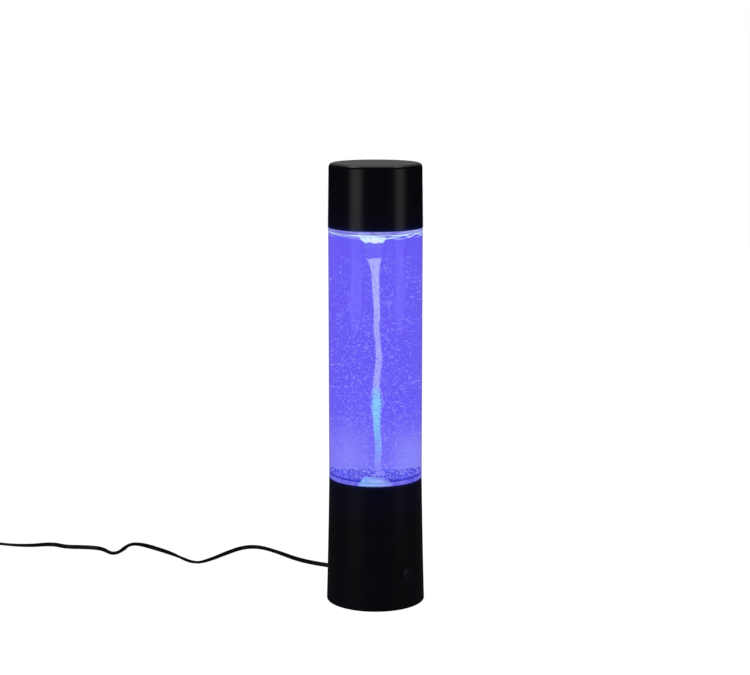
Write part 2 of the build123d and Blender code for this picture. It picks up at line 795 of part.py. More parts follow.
terminal_top_z = motor_bottom_z - motor_cap_thickness
with BuildPart() as motor_terminals:
    with BuildSketch(Plane.XY.offset(terminal_top_z)):
        with Locations((-terminal_spacing / 2, 0), (terminal_spacing / 2, 0)):
            Rectangle(terminal_thickness, terminal_width)
    extrude(amount=-terminal_length)
motor_terminals.part.label = "motor_terminals"
export_step(motor_terminals.part, "parts/motor_terminals.step")

motor_screws = screw_ring(
    motor_screw_spacing / 2,
    2,
    0,
    mount_top_z,
    small_head,
    (small_shank_radius, motor_screw_length),
    up=-1,
)
motor_screws.part.label = "motor_screws"
export_step(motor_screws.part, "parts/motor_screws.step")

# Shaft and magnet carrier, which turn together under the seat's floor
shaft_top_z = carrier_bottom_z + shaft_grip
with BuildPart() as motor_shaft:
    with BuildSketch(Plane.XY.offset(motor_bottom_z + axial_play)):
        Circle(shaft_radius)
    extrude(amount=shaft_top_z - motor_bottom_z - axial_play)
motor_shaft.part.label = "motor_shaft"
export_step(motor_shaft.part, "parts/motor_shaft.step")

with BuildPart() as magnet_carrier:
    with BuildSketch(Plane.XY.offset(carrier_bottom_z)):
        Circle(carrier_radius)
    extrude(amount=carrier_thickness)
    with BuildSketch(Plane.XY.offset(hub_bottom_z)):
        Circle(carrier_hub_radius)
    extrude(amount=carrier_hub_height)
    with BuildSketch(Plane.XY.offset(hub_bottom_z)):
        Circle(shaft_radius)
    extrude(amount=shaft_top_z - hub_bottom_z, mode=Mode.SUBTRACT)
    with BuildSketch(Plane.XY.offset(carrier_top_z)):
        with PolarLocations(magnet_ring_radius, magnet_count):
            Circle(magnet_radius)
    extrude(amount=-magnet_cover - magnet_thickness, mode=Mode.SUBTRACT)
magnet_carrier.part.label = "magnet_carrier"
export_step(magnet_carrier.part, "parts/magnet_carrier.step")

with BuildPart() as drive_magnets:
    with BuildSketch(Plane.XY.offset(carrier_top_z - magnet_cover)):
        with PolarLocations(magnet_ring_radius, magnet_count):
            Circle(magnet_radius)
    extrude(amount=-magnet_thickness)
drive_magnets.part.label = "drive_magnets"
export_step(drive_magnets.part, "parts/drive_magnets.step")

# Cap shell: a drafted cup with a rounded top edge and ribs that bear on the plug's collar
cap_foot_z = tube_top_z + face_gap
cap_foot_radius = tube_outer_radius + cap_overhang
plug_plate_z = cap_foot_z
plug_plate_top_z = plug_plate_z + plug_plate_thickness
collar_top_z = plug_plate_top_z + plug_collar_height
cap_roof_z = lamp_top_z - cap_roof


def cap_inner_radius(z):
    """Inner radius of the cap's drafted wall at height z."""
    return cap_foot_radius - cap_wall - cap_draft * (z - cap_foot_z) / (lamp_top_z - cap_foot_z)


with BuildPart() as cap_shell:
    with BuildSketch(Plane.XZ) as cap_profile:
        with BuildLine():
            Polyline(
                (0, cap_roof_z),
                (cap_inner_radius(cap_roof_z), cap_roof_z),
                (cap_inner_radius(cap_foot_z), cap_foot_z),
                (cap_foot_radius, cap_foot_z),
                (cap_foot_radius - cap_draft, lamp_top_z),
                (0, lamp_top_z),
                (0, cap_roof_z),
            )
        make_face()
        fillet(cap_profile.vertices().sort_by(Axis.X)[-1], radius=base_edge_radius / 2)
        fillet(cap_profile.vertices().group_by(Axis.Y)[-1].sort_by(Axis.X)[-1], radius=cap_top_radius)
    revolve(axis=Axis.Z)
    with BuildSketch(Plane.XY.offset(collar_top_z)):
        rib_reach = cap_inner_radius(cap_roof_z) + cap_wall / 2
        with PolarLocations(rib_reach - cap_rib_width / 2 - cap_wall / 2, cap_rib_count):
            Rectangle(cap_rib_width + cap_wall, cap_rib_thickness)
    extrude(amount=cap_roof_z - collar_top_z)
cap_shell.part.label = "cap_shell"
export_step(cap_shell.part, "parts/cap_shell.step")

# Cap plug: a plate on the tube's rim, a collar in the cap and a skirt with a seal groove in the tube
collar_radius = cap_inner_radius(collar_top_z) - plug_clearance
skirt_radius = tube_inner_radius - plug_skirt_clearance
skirt_bottom_z = plug_plate_z - plug_skirt_depth
groove_top_z = plug_plate_z - seal_groove_drop
groove_radius = skirt_radius - seal_groove_depth
with BuildPart() as cap_plug:
    with BuildSketch(Plane.XZ):
        with BuildLine():
            Polyline(
                (0, plug_plate_z),
                (skirt_radius - plug_skirt_wall, plug_plate_z),
                (skirt_radius - plug_skirt_wall, skirt_bottom_z),
                (skirt_radius, skirt_bottom_z),
                (skirt_radius, groove_top_z - seal_groove_width),
                (groove_radius, groove_top_z - seal_groove_width),
                (groove_radius, groove_top_z),
                (skirt_radius, groove_top_z),
                (skirt_radius, plug_plate_z),
                (collar_radius, plug_plate_z),
                (collar_radius, collar_top_z),
                (collar_radius - plug_collar_wall, collar_top_z),
                (collar_radius - plug_collar_wall, plug_plate_top_z),
                (0, plug_plate_top_z),
                (0, plug_plate_z),
            )
        make_face()
    revolve(axis=Axis.Z)
cap_plug.part.label = "cap_plug"
export_step(cap_plug.part, "parts/cap_plug.step")

with BuildPart() as plug_seal:
    with BuildSketch(Plane.XZ):
        with Locations((groove_radius + seal_radius, groove_top_z - seal_groove_width / 2)):
            Circle(seal_radius)
    revolve(axis=Axis.Z)
plug_seal.part.label = "plug_seal"
export_step(plug_seal.part, "parts/plug_seal.step")

# Cord grommet: flanges on both sides of the wall and a tapered nose, revolved round the cord's axis
grommet_outer_y = base_outer_radius(cord_exit_z - grommet_flange_radius) + grommet_wall_gap
flange_inner_wall = base_inner_radius(cord_exit_z + grommet_flange_radius)
grommet_inner_y = sqrt(flange_inner_wall**2 - grommet_flange_radius**2) - grommet_wall_gap
grommet_back_y = grommet_inner_y - grommet_inner_flange
grommet_tip_y = grommet_outer_y + grommet_outer_flange + grommet_nose_length
with BuildPart() as cord_grommet:
    with BuildSketch(Plane.YZ):
        with BuildLine():
            Polyline(
                (grommet_back_y, cord_exit_z),
                (grommet_back_y, cord_exit_z + grommet_flange_radius),
                (grommet_inner_y, cord_exit_z + grommet_flange_radius),
                (grommet_inner_y, cord_exit_z + grommet_neck_radius),
                (grommet_outer_y, cord_exit_z + grommet_neck_radius),
                (grommet_outer_y, cord_exit_z + grommet_flange_radius),
                (grommet_outer_y + grommet_outer_flange, cord_exit_z + grommet_flange_radius),
                (grommet_outer_y + grommet_outer_flange, cord_exit_z + grommet_nose_radius),
                (grommet_tip_y, cord_exit_z + grommet_tip_radius),
                (grommet_tip_y, cord_exit_z),
                (grommet_back_y, cord_exit_z),
            )
        make_face()
    revolve(axis=Axis((0, 0, cord_exit_z), (0, 1, 0)))
cord_grommet.part.label = "cord_grommet"
export_step(cord_grommet.part, "parts/cord_grommet.step")

# Wires inside the base: each route starts square to a connector's face or the grommet
connector_y = board_back_y + connector_depth
cord_radius = cord_width / 2
power_x, power_z = on_board(*power_connector[:2])
power_shares = [(0, 0, 0), (0, 0.12, 0), (0.65, 0.35, 0.25), (1.15, 0.6, 0.5), (1, 0.82, 1), (1, 1, 1)]
power_route = [
    (
        across_share * power_x,
        grommet_back_y + back_share * (connector_y - grommet_back_y),
        cord_exit_z + rise_share * (power_z - cord_exit_z),
    )
    for across_share, back_share, rise_share in power_shares
]
power_radii = corner_radii(power_route)
with BuildPart() as power_lead:
    with BuildLine() as power_line:
        FilletPolyline(*power_route, radius=power_radii)
    with BuildSketch(Plane(power_line.line @ 0, z_dir=power_line.line % 0)):
        Circle(cord_radius)
    sweep(path=power_line.line)
report_tube("power_lead", power_lead.part, power_line.line, cord_radius, power_radii)
power_lead.part.label = "power_lead"
export_step(power_lead.part, "parts/power_lead.step")

terminal_bottom_z = terminal_top_z - terminal_length
motor_plug_x, motor_plug_z = on_board(*motor_connector[:2])
motor_rise = terminal_bottom_z - motor_plug_z
motor_rise_shares = (0.2, 0.5, 0.7)
motor_reach_shares = (0.6, 0.85)  # of the way from the connector to the motor's middle
with BuildPart() as motor_leads:
    for side in (-1, 1):
        plug_x = motor_plug_x + side * wire_pitch / 2
        terminal_x = side * terminal_spacing / 2
        motor_route = [
            (plug_x, connector_y, motor_plug_z),
            (plug_x, connector_y + wire_lead_out, motor_plug_z),
            (
                plug_x + wire_pitch,
                connector_y * (1 - motor_reach_shares[0]),
                motor_plug_z + motor_rise_shares[0] * motor_rise,
            ),
            (
                (plug_x + terminal_x) / 2,
                connector_y * (1 - motor_reach_shares[1]),
                motor_plug_z + motor_rise_shares[1] * motor_rise,
            ),
            (terminal_x, 0, motor_plug_z + motor_rise_shares[2] * motor_rise),
            (terminal_x, 0, terminal_bottom_z),
        ]
        motor_radii = corner_radii(motor_route)
        with BuildLine() as motor_line:
            FilletPolyline(*motor_route, radius=motor_radii)
        with BuildSketch(Plane(motor_line.line @ 0, z_dir=motor_line.line % 0)):
            Circle(wire_radius)
        sweep(path=motor_line.line)
        print("motor lead radii", [round(r, 1) for r in motor_radii])
motor_leads.part.label = "motor_leads"
export_step(motor_leads.part, "parts/motor_leads.step")

led_plug_x, led_plug_z = on_board(*led_connector[:2])
led_rise = led_board_z - led_plug_z
led_rise_shares = (0.25, 0.5, 0.7)
with BuildPart() as led_leads:
    for number in range(4):
        wire_x = led_plug_x + (number - 1.5) * wire_pitch
        led_route = [
            (wire_x, connector_y, led_plug_z),
            (wire_x, connector_y + wire_lead_out, led_plug_z),
            (wire_x, connector_y + wire_lead_out + wire_radius, led_plug_z + led_rise_shares[0] * led_rise),
            (wire_x, (connector_y + mount_wire_slot_y) / 2, led_plug_z + led_rise_shares[1] * led_rise),
            (wire_x, mount_wire_slot_y, led_plug_z + led_rise_shares[2] * led_rise),
            (wire_x, mount_wire_slot_y, led_board_z),
        ]
        led_radii = corner_radii(led_route)
        with BuildLine() as led_line:
            FilletPolyline(*led_route, radius=led_radii)
        with BuildSketch(Plane(led_line.line @ 0, z_dir=led_line.line % 0)):
            Circle(wire_radius)
        sweep(path=led_line.line)
        print("LED lead radii", [round(r, 1) for r in led_radii])
led_leads.part.label = "led_leads"
export_step(led_leads.part, "parts/led_leads.step")

# Coil: half turns that spiral in, one half turn that climbs a layer, and half turns that spiral out again
layer_step = cord_width + cord_turn_gap
coil_low_z = cord_floor_gap + tie_thickness + tie_gap + cord_radius
coil_high_z = coil_low_z + layer_step
start_out = Vector(1, 0, 0).rotate(Axis.Z, coil_start_angle)
start_heading = start_out.rotate(Axis.Z, 90)
coil_centre = (coil_offset[0], grommet_tip_y + coil_offset[1])
coil_start = Vector(*coil_centre, coil_low_z) + start_out * coil_outer_radius
coil_lead_in = coil_start - start_heading * cord_width

radii_in = [coil_outer_radius - n * layer_step / 2 for n in range(coil_half_turns_in)]
climb_radius = radii_in[-1] - layer_step / 2
radii_out = [climb_radius + (n + 1) * layer_step / 2 for n in range(coil_half_turns_out)]
with BuildPart() as cord_coil:
    with BuildLine() as coil_line:
        Line(coil_lead_in, coil_start)
        place = coil_start
        out = start_out
        for turn_radius in radii_in + [climb_radius] + radii_out:
            heading = out.rotate(Axis.Z, 90)
            if turn_radius == climb_radius:
                middle_radius = sqrt(climb_radius**2 + (layer_step / 2) ** 2)
                centre = place - out * climb_radius
                half_way = centre + heading * middle_radius + Vector(0, 0, layer_step / 2)
                top = centre - out * climb_radius + Vector(0, 0, layer_step)
                first = TangentArc(place, half_way, tangent=heading)
                TangentArc(half_way, top, tangent=first % 1)
                place = top
            else:
                centre = place - out * turn_radius
                ThreePointArc(place, centre + heading * turn_radius, centre - out * turn_radius)
                place = centre - out * turn_radius
            out = out * -1
        end_heading = out.rotate(Axis.Z, 90)
        coil_end = place + end_heading * cord_width
        Line(place, coil_end)
    with BuildSketch(Plane(coil_line.line @ 0, z_dir=coil_line.line % 0)):
        Circle(cord_radius)
    sweep(path=coil_line.line)
coil_length = report_tube("cord_coil", cord_coil.part, coil_line.line, cord_radius, radii_in + [climb_radius] + radii_out)
cord_coil.part.label = "cord_coil"
export_step(cord_coil.part, "parts/cord_coil.step")

# Least gap of the coil to itself, measured between points that lie at least half an inner turn apart
samples = 1200
coil_points = np.array([tuple(coil_line.line @ (n / samples)) for n in range(samples + 1)])
coil_spacing = coil_length / samples
apart = int(pi * climb_radius / coil_spacing)
least_gap = min(
    np.linalg.norm(coil_points[n + apart :] - coil_points[n], axis=1).min() for n in range(samples - apart)
)
print(f"cord_coil: least gap to itself {least_gap - cord_width:.2f}")

# Coil tie: a band round the bundle of turns at one side
tie_out = Vector(1, 0, 0).rotate(Axis.Z, tie_angle)
tie_inner = climb_radius - layer_step / 2 - cord_radius - tie_gap
tie_outer = coil_outer_radius + cord_radius + tie_gap
tie_length = tie_outer - tie_inner
tie_height = layer_step + cord_width + 2 * tie_gap
tie_middle_z = (coil_low_z + coil_high_z) / 2
tie_middle = Vector(*coil_centre, tie_middle_z) + tie_out * (tie_inner + tie_outer) / 2
tie_plane = Plane(tie_middle, x_dir=tie_out, z_dir=tie_out.rotate(Axis.Z, 90))
with BuildPart() as coil_tie:
    with BuildSketch(tie_plane):
        RectangleRounded(tie_length + 2 * tie_thickness, tie_height + 2 * tie_thickness, cord_radius)
        RectangleRounded(tie_length, tie_height, cord_radius - tie_thickness, mode=Mode.SUBTRACT)
    extrude(amount=tie_width / 2, both=True)
coil_tie.part.label = "coil_tie"
export_step(coil_tie.part, "parts/coil_tie.step")

# Cord run: down from the grommet, behind the lamp and along the table in the waves of the photograph
lie_z = cord_radius + cord_floor_gap
cord_lay = [  # across and back from the grommet's tip
    (13, 22),
    (31, 35),
    (20, 60),
    (15, 83),
    (16, 111),
    (14, 138),
    (1, 147),
    (-21, 142),
    (-49, 133),
    (-64, 135),
    (-63, 166),
    (-65, 200),
    (-69, 222),
    (-76, 226),
    (-88, 217),
    (-100, 209),
    (-107, 211),
    (-104, 231),
    (-115, 246),
    (-128, 258),
    (-132, 275),
    (-152, 284),
    (-167, 304),
]
cord_route = [
    (0, grommet_tip_y, cord_exit_z),
    (0, grommet_tip_y + exit_run, cord_exit_z),
    *((x, grommet_tip_y + y, lie_z) for x, y in cord_lay),
    tuple(coil_lead_in - start_heading * run_in_length),
    tuple(coil_lead_in),
]
cord_radii = corner_radii(cord_route)
with BuildPart() as cord_run:
    with BuildLine() as cord_line:
        FilletPolyline(*cord_route, radius=cord_radii)
    with BuildSketch(Plane(cord_line.line @ 0, z_dir=cord_line.line % 0)):
        Circle(cord_radius)
    sweep(path=cord_line.line)
run_length = report_tube("cord_run", cord_run.part, cord_line.line, cord_radius, cord_radii)
cord_run.part.label = "cord_run"
export_step(cord_run.part, "parts/cord_run.step")

# Cord tail: off the coil, round its side and down to the plug
plug_axis_z = plug_height / 2 + cord_floor_gap
tail_drop_z = coil_high_z - tail_drop
tail_lay = [(-9, 32, tail_drop_z), (-26, 27, plug_axis_z), (-37, 14, plug_axis_z)]  # from the coil's centre
tail_route = [
    tuple(coil_end),
    tuple(coil_end + end_heading * 2 * cord_width),
    *((coil_centre[0] + x, coil_centre[1] + y, z) for x, y, z in tail_lay),
]
tail_radii = corner_radii(tail_route)
with BuildPart() as cord_tail:
    with BuildLine() as tail_line:
        FilletPolyline(*tail_route, radius=tail_radii)
    with BuildSketch(Plane(tail_line.line @ 0, z_dir=tail_line.line % 0)):
        Circle(cord_radius)
    sweep(path=tail_line.line)
tail_length = report_tube("cord_tail", cord_tail.part, tail_line.line, cord_radius, tail_radii)
print(f"cord in all: {run_length + coil_length + tail_length:.0f}")
cord_tail.part.label = "cord_tail"
export_step(cord_tail.part, "parts/cord_tail.step")

# Plug: a moulded body with a tapered relief, a metal sleeve and the contact tongue inside it
plug_heading = tail_line.line % 1
plug_across = plug_heading.rotate(Axis.Z, 90)
relief_plane = Plane(tail_line.line @ 1, x_dir=plug_across, z_dir=plug_heading)
body_plane = relief_plane.offset(relief_length)
sleeve_plane = body_plane.offset(plug_length)
with BuildPart() as plug_body:
    with BuildSketch(relief_plane):
        Circle(relief_tip_radius)
    with BuildSketch(body_plane):
        Circle(plug_relief_radius)
    loft()
    with BuildSketch(body_plane):
        RectangleRounded(plug_width, plug_height, plug_corner_radius)
    extrude(amount=plug_length)
plug_body.part.label = "plug_body"
export_step(plug_body.part, "parts/plug_body.step")

with BuildPart() as plug_sleeve:
    with BuildSketch(sleeve_plane):
        Rectangle(sleeve_width, sleeve_height)
        Rectangle(sleeve_width - 2 * sleeve_wall, sleeve_height - 2 * sleeve_wall, mode=Mode.SUBTRACT)
    extrude(amount=sleeve_length)
plug_sleeve.part.label = "plug_sleeve"
export_step(plug_sleeve.part, "parts/plug_sleeve.step")

tongue_width = sleeve_width - 2 * sleeve_wall - 2 * tongue_side_gap
tongue_lift = sleeve_height / 2 - sleeve_wall - tongue_side_gap - tongue_thickness / 2
with BuildPart() as plug_tongue:
    with BuildSketch(sleeve_plane):
        with Locations((0, tongue_lift)):
            Rectangle(tongue_width, tongue_thickness)
    extrude(amount=sleeve_length - tongue_setback)
plug_tongue.part.label = "plug_tongue"
export_step(plug_tongue.part, "parts/plug_tongue.step")
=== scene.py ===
# %% [markdown]
# # A round lamp with a vortex in lit water
#
# The real lamp is a black base, a clear tube full of water that glows violet-blue, and a black cap.
# A small motor turns an impeller under the water, and the water sinks into a thin pale vortex.
# The solids of the lamp were made before, to size, in another program. They come first, as a fixed
# frame: every new surface goes where these solids say, so nothing has to be fitted by eye.

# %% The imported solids
import math

import bpy
import numpy as np
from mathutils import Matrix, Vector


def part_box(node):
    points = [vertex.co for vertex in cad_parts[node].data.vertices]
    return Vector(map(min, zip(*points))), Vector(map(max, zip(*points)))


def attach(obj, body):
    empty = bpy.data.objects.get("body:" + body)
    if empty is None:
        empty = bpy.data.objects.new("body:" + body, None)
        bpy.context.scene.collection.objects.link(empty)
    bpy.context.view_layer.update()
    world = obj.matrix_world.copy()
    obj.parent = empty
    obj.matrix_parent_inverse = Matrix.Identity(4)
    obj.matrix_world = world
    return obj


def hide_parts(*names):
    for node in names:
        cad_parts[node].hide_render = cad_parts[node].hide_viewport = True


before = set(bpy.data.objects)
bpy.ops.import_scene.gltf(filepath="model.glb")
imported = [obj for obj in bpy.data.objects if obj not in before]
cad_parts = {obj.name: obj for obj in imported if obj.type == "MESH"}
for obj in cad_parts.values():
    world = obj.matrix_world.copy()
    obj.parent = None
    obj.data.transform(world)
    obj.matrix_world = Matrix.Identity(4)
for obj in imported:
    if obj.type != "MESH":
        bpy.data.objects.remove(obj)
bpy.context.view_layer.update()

mm = 0.001

# %% [markdown]
# ## The camera
#
# It stands in front and a little to the left of the button, looks ten degrees down and uses a long lens,
# as the photographer did. The ratio of the cap's curve to the foot's curve gave the distance, and the
# heights of the cap and the foot in the picture gave the tilt.

# %% Camera
look_down, look_round = 9.67, -40.4  # degrees
camera_data = bpy.data.cameras.new("camera")
camera_data.lens = 88.0
camera_data.sensor_width = 36.0
camera_data.shift_x = -0.00055
camera = bpy.data.objects.new("camera", camera_data)
camera.location = (-1.0004, -1.1754, 0.4938)
camera.rotation_euler = (math.radians(90 - look_down), 0, math.radians(look_round))
bpy.context.scene.collection.objects.link(camera)
bpy.context.scene.camera = camera
bpy.context.scene.view_settings.view_transform = "Standard"
toward_camera = math.atan2(camera.location.y, camera.location.x)  # an angle round the lamp's axis
toward_right = toward_camera + math.pi / 2  # to the right of the picture
print("the camera stands at", round(math.degrees(toward_camera)), "degrees round the lamp")

# %% [markdown]
# ## Surfaces from numbers
#
# Nearly every piece of the lamp is round, so most surfaces here are a profile turned round an axis: a grid
# of points with one row per point of the profile and one column per step of the turn. The grid is worked
# out as whole arrays, and the same list of faces fits every grid.

# %% Grids, profiles and pieces
def grid_faces(rows, columns, close_rows=False, close_columns=True):
    """Each face joins a point, its neighbour in the row, and the two beside them in the next row."""
    row = np.arange(rows if close_rows else rows - 1)[:, None]
    column = np.arange(columns if close_columns else columns - 1)[None, :]
    after, beside = (row + 1) % rows * columns, (column + 1) % columns
    corners = (row * columns + column, row * columns + beside, after + beside, after + column)
    return np.stack(np.broadcast_arrays(*corners), -1).reshape(-1, 4)


def rounded(corners, steps=5):
    """An outline of (x, y, radius) corners. A corner becomes the curve (1-u)^2 A + 2u(1-u) P + u^2 B,
    where P is the corner and A and B lie on its two runs, one radius from it."""
    corners = np.asarray(corners, float)
    place, reach = corners[:, :2], corners[:, 2:]

    def on_run(other):
        run = other - place
        return place + run * reach / np.linalg.norm(run, axis=1, keepdims=True)

    u = np.linspace(0, 1, steps)[None, :, None]
    start, end = on_run(np.roll(place, 1, 0))[:, None], on_run(np.roll(place, -1, 0))[:, None]
    curve = ((1 - u) ** 2 * start + 2 * u * (1 - u) * place[:, None] + u**2 * end).reshape(-1, 2)
    return curve[np.linalg.norm(curve - np.roll(curve, 1, 0), axis=1) > 1e-7]


def read_off(stops, at):
    """Read (place, value) stops at any places, by straight lines between the stops."""
    return np.interp(at, *zip(*stops))


def round_axis(radius, angle, height):
    """Points (r cos a, r sin a, h), from numbers or from arrays that fit each other."""
    return np.stack(np.broadcast_arrays(radius * np.cos(angle), radius * np.sin(angle), height), -1)


def closing_fans(rows, columns):
    """Triangles from two points, which follow the grid's own, to its first row and to its last row."""
    around = np.arange(columns)
    beside, last_row, point = (around + 1) % columns, (rows - 1) * columns, 0 * around + rows * columns
    first_fan, last_fan = (point, beside, around), (last_row + around, last_row + beside, point + 1)
    return np.stack(first_fan, -1).tolist() + np.stack(last_fan, -1).tolist()


def turned(profile, columns=256, axis="Z", shift=(0, 0, 0)):
    """Turn (radius, height) pairs round an axis: x = r cos a, y = r sin a, z = h, and for the axis Y the
    height runs along -y. A profile that starts and ends on the axis is closed there by one point each."""
    profile = np.asarray(profile, float)
    poles = profile[0, 0] < 1e-9
    ring = profile[1:-1] if poles else profile
    angle = np.linspace(0, 2 * np.pi, columns, endpoint=False)
    points = round_axis(ring[:, :1], angle, ring[:, 1:]).reshape(-1, 3)
    faces = grid_faces(len(ring), columns, close_rows=not poles).tolist()
    if poles:
        points = np.vstack([points, [0, 0, profile[0, 1]], [0, 0, profile[-1, 1]]])
        faces += closing_fans(len(ring), columns)
    if axis == "Y":
        points = np.stack([points[:, 0], -points[:, 2], points[:, 1]], -1)
    return points + np.asarray(shift, float), faces


def new_piece(name, points, faces, body, slot, replaces=(), crease=38):
    """Put points in millimetres and faces in a mesh, smooth but for edges sharper than the crease."""
    mesh = bpy.data.meshes.new(name)
    mesh.from_pydata((np.reshape(points, (-1, 3)) * mm).tolist(), [], [list(face) for face in faces])
    mesh.update()
    mesh.shade_smooth()
    mesh.set_sharp_from_angle(angle=math.radians(crease))
    piece = bpy.data.objects.new(name, mesh)
    bpy.context.scene.collection.objects.link(piece)
    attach(piece, body)
    if replaces:
        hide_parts(*replaces)
    print(name, len(mesh.vertices), "points")
    return piece


# %% [markdown]
# ## Finishes from expressions
#
# A finish is a material with one shader. Its patterns are written as sums: a small class wraps a socket,
# so that ordinary signs add Math nodes, and one method adds any other node. All patterns read Object
# coordinates, in metres, because every piece lies at the origin with its place in its mesh.

# %% Sockets with signs, and finishes
class Wire:
    """A socket that carries one value. Arithmetic on it adds Math nodes to its material."""

    def __init__(self, finish, socket):
        self.finish, self.socket = finish, socket

    def math(self, operation, *others):
        return self.finish.node("ShaderNodeMath", {"operation": operation}, dict(enumerate((self, *others))))

    def __add__(self, other):
        return self.math("ADD", other)

    def __sub__(self, other):
        return self.math("SUBTRACT", other)

    def __mul__(self, other):
        return self.math("MULTIPLY", other)

    def __rsub__(self, other):
        return self.finish.node("ShaderNodeMath", {"operation": "SUBTRACT"}, {0: other, 1: self})

    __radd__, __rmul__ = __add__, __mul__

    def rise(self, low, high):
        """0 below low, 1 above high, and a smooth step between them; low may be above high."""
        if low > high:
            return 1 - self.rise(high, low)
        values = {"Value": self, "From Min": low, "From Max": high}
        return self.finish.node("ShaderNodeMapRange", {"interpolation_type": "SMOOTHSTEP"}, values)

    def between(self, low, high, soft):
        """1 between low and high, 0 outside, with soft edges that lie outside."""
        return self.rise(low - soft, low) * self.rise(high + soft, high)


class Finish:
    """A new material: what is the same all over is set on its shader, and patterns are linked to it."""

    def __init__(self, name, **same_all_over):
        self.material = bpy.data.materials.new(name)
        self.material.use_nodes = True
        self.tree = self.material.node_tree
        self.shader = self.tree.nodes["Principled BSDF"]
        self.place = self.node("ShaderNodeTexCoord", output="Object")
        self.set(**same_all_over)

    def node(self, kind, settings=(), values=(), output=0):
        """Add a node: its settings come first, then the values or links of its sockets."""
        made = self.tree.nodes.new(kind)
        for name, value in dict(settings).items():
            if name == "stops":
                ramp = made.color_ramp
                while len(ramp.elements) < len(value):
                    ramp.elements.new(1.0)
                for element, (position, colour) in zip(ramp.elements, value):
                    element.position, element.color = position, (*colour, 1)
            else:
                setattr(made, name, value)
        for name, value in dict(values).items():
            self.join(made.inputs[name], value)
        return Wire(self, made.outputs[output])

    def join(self, socket, value):
        """Link a wire to a socket, or set the socket to plain numbers; a colour is made opaque."""
        if isinstance(value, Wire):
            self.tree.links.new(value.socket, socket)
        else:
            socket.default_value = (*value, 1) if socket.type == "RGBA" else value

    def set(self, **sockets):
        """Set or link the shader's sockets; an underscore in a name stands for a space."""
        for name, value in sockets.items():
            self.join(self.shader.inputs[name.replace("_", " ")], value)
        return self

    def part(self, which):
        """X, Y or Z of the place."""
        return self.node("ShaderNodeSeparateXYZ", values={0: self.place}, output=which)

    def radius(self):
        """Distance from the lamp's axis."""
        x, y = self.part("X"), self.part("Y")
        return (x * x + y * y).math("SQRT")

    def toward(self, angle):
        """Distance from the axis measured in one direction."""
        return self.part("X") * math.cos(angle) + self.part("Y") * math.sin(angle)

    def back_of_face(self):
        """1 where a face is seen from its back, 0 where it is seen from outside."""
        return self.node("ShaderNodeNewGeometry", output="Backfacing")

    def noise(self, scale, detail=2.0, roughness=0.5, stretch=(1, 1, 1), distortion=0.0):
        """Soft noise from 0 to 1; scale is in cycles per metre."""
        where = self.node("ShaderNodeMapping", values={"Vector": self.place, "Scale": stretch})
        values = {"Vector": where, "Scale": scale, "Detail": detail}
        values.update({"Roughness": roughness, "Distortion": distortion})
        return self.node("ShaderNodeTexNoise", values=values)

    def mix(self, factor, first, second):
        """A colour between two colours."""
        values = {0: factor, 6: first, 7: second}
        return self.node("ShaderNodeMix", {"data_type": "RGBA"}, values, output=2)

    def ramp(self, value, stops):
        return self.node("ShaderNodeValToRGB", {"stops": stops}, {0: value})

    def bump(self, height, distance):
        """Link a relief to the shader: height from 0 to 1 stands distance metres proud."""
        values = {"Height": height, "Distance": distance, "Strength": 1.0}
        return self.set(Normal=self.node("ShaderNodeBump", values=values))

    def blend_shaders(self, factor, first, second):
        return self.node("ShaderNodeMixShader", values={0: factor, 1: first, 2: second})

    def show(self, shader):
        """Show this shader in place of the material's own one."""
        self.join(self.tree.nodes["Material Output"].inputs["Surface"], shader)
        return self


# %% [markdown]
# ## The cord
#
# A thin flat two-core cord leaves a grommet at the back, drops to the table, and runs off in the waves it
# took while it was packed. The rest of it lies in a coil of two layers outside the picture, held by a tie,
# with the plug on its short tail. A quadratic spline repeats the route. Where the cord isn't coiled, its
# points are listed; the coil's points come from a spiral, 16 to the turn, a little outside it,
# because a quadratic spline touches its frame half way between two points.

# %% Route of the cord
cord_width, cord_thickness = 4.0, 2.6
cord_diameter = 3.6  # of the round cord that the solids have
cord_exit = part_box("cord_grommet")[1].y / mm
cord_height, lie_height, lie_gap = 10.2, 1.9, 0.1
first_run, run_in = 8.0, 15.0  # straight stretches, out of the grommet and into the coil
cord_lay = [  # across and back from the grommet's tip
    (13, 22), (31, 35), (20, 60), (15, 83), (16, 111), (14, 138), (1, 147), (-21, 142), (-49, 133),
    (-64, 135), (-63, 166), (-65, 200), (-69, 222), (-76, 226), (-88, 217), (-100, 209), (-107, 211),
    (-104, 231), (-115, 246), (-128, 258), (-132, 275), (-152, 284), (-167, 304)]
coil_middle = np.array([-213.0, cord_exit + 318.0, 0])
coil_radius, coil_low, coil_high = 27.0, 2.95, 7.0
turn_step = 2.025  # what the radius changes by in half a turn
half_turns_in, half_turns_out = 8, 6
inner_radius = coil_radius - half_turns_in * turn_step
coil_turn = math.radians(50)
coil_out = np.array([math.cos(coil_turn), math.sin(coil_turn), 0])
coil_ahead = np.array([-math.sin(coil_turn), math.cos(coil_turn), 0])
tail_lay = [(-9, 32, 6.45), (-26, 27, 3.9), (-37, 14, 3.9)]  # from the coil's middle, and the height


def spiral(middle, start_radius, step, half_turns):
    """Points at half steps on r = start + step * a / pi, each divided by the cosine of half a step."""
    angle = (np.arange(8 * half_turns) + 0.5) * np.pi / 8
    radius = (start_radius + step * angle / np.pi) / math.cos(np.pi / 16)
    side, ahead = np.cos(angle)[:, None], np.sin(angle)[:, None]
    return angle, middle + radius[:, None] * (side * coil_out + ahead * coil_ahead)


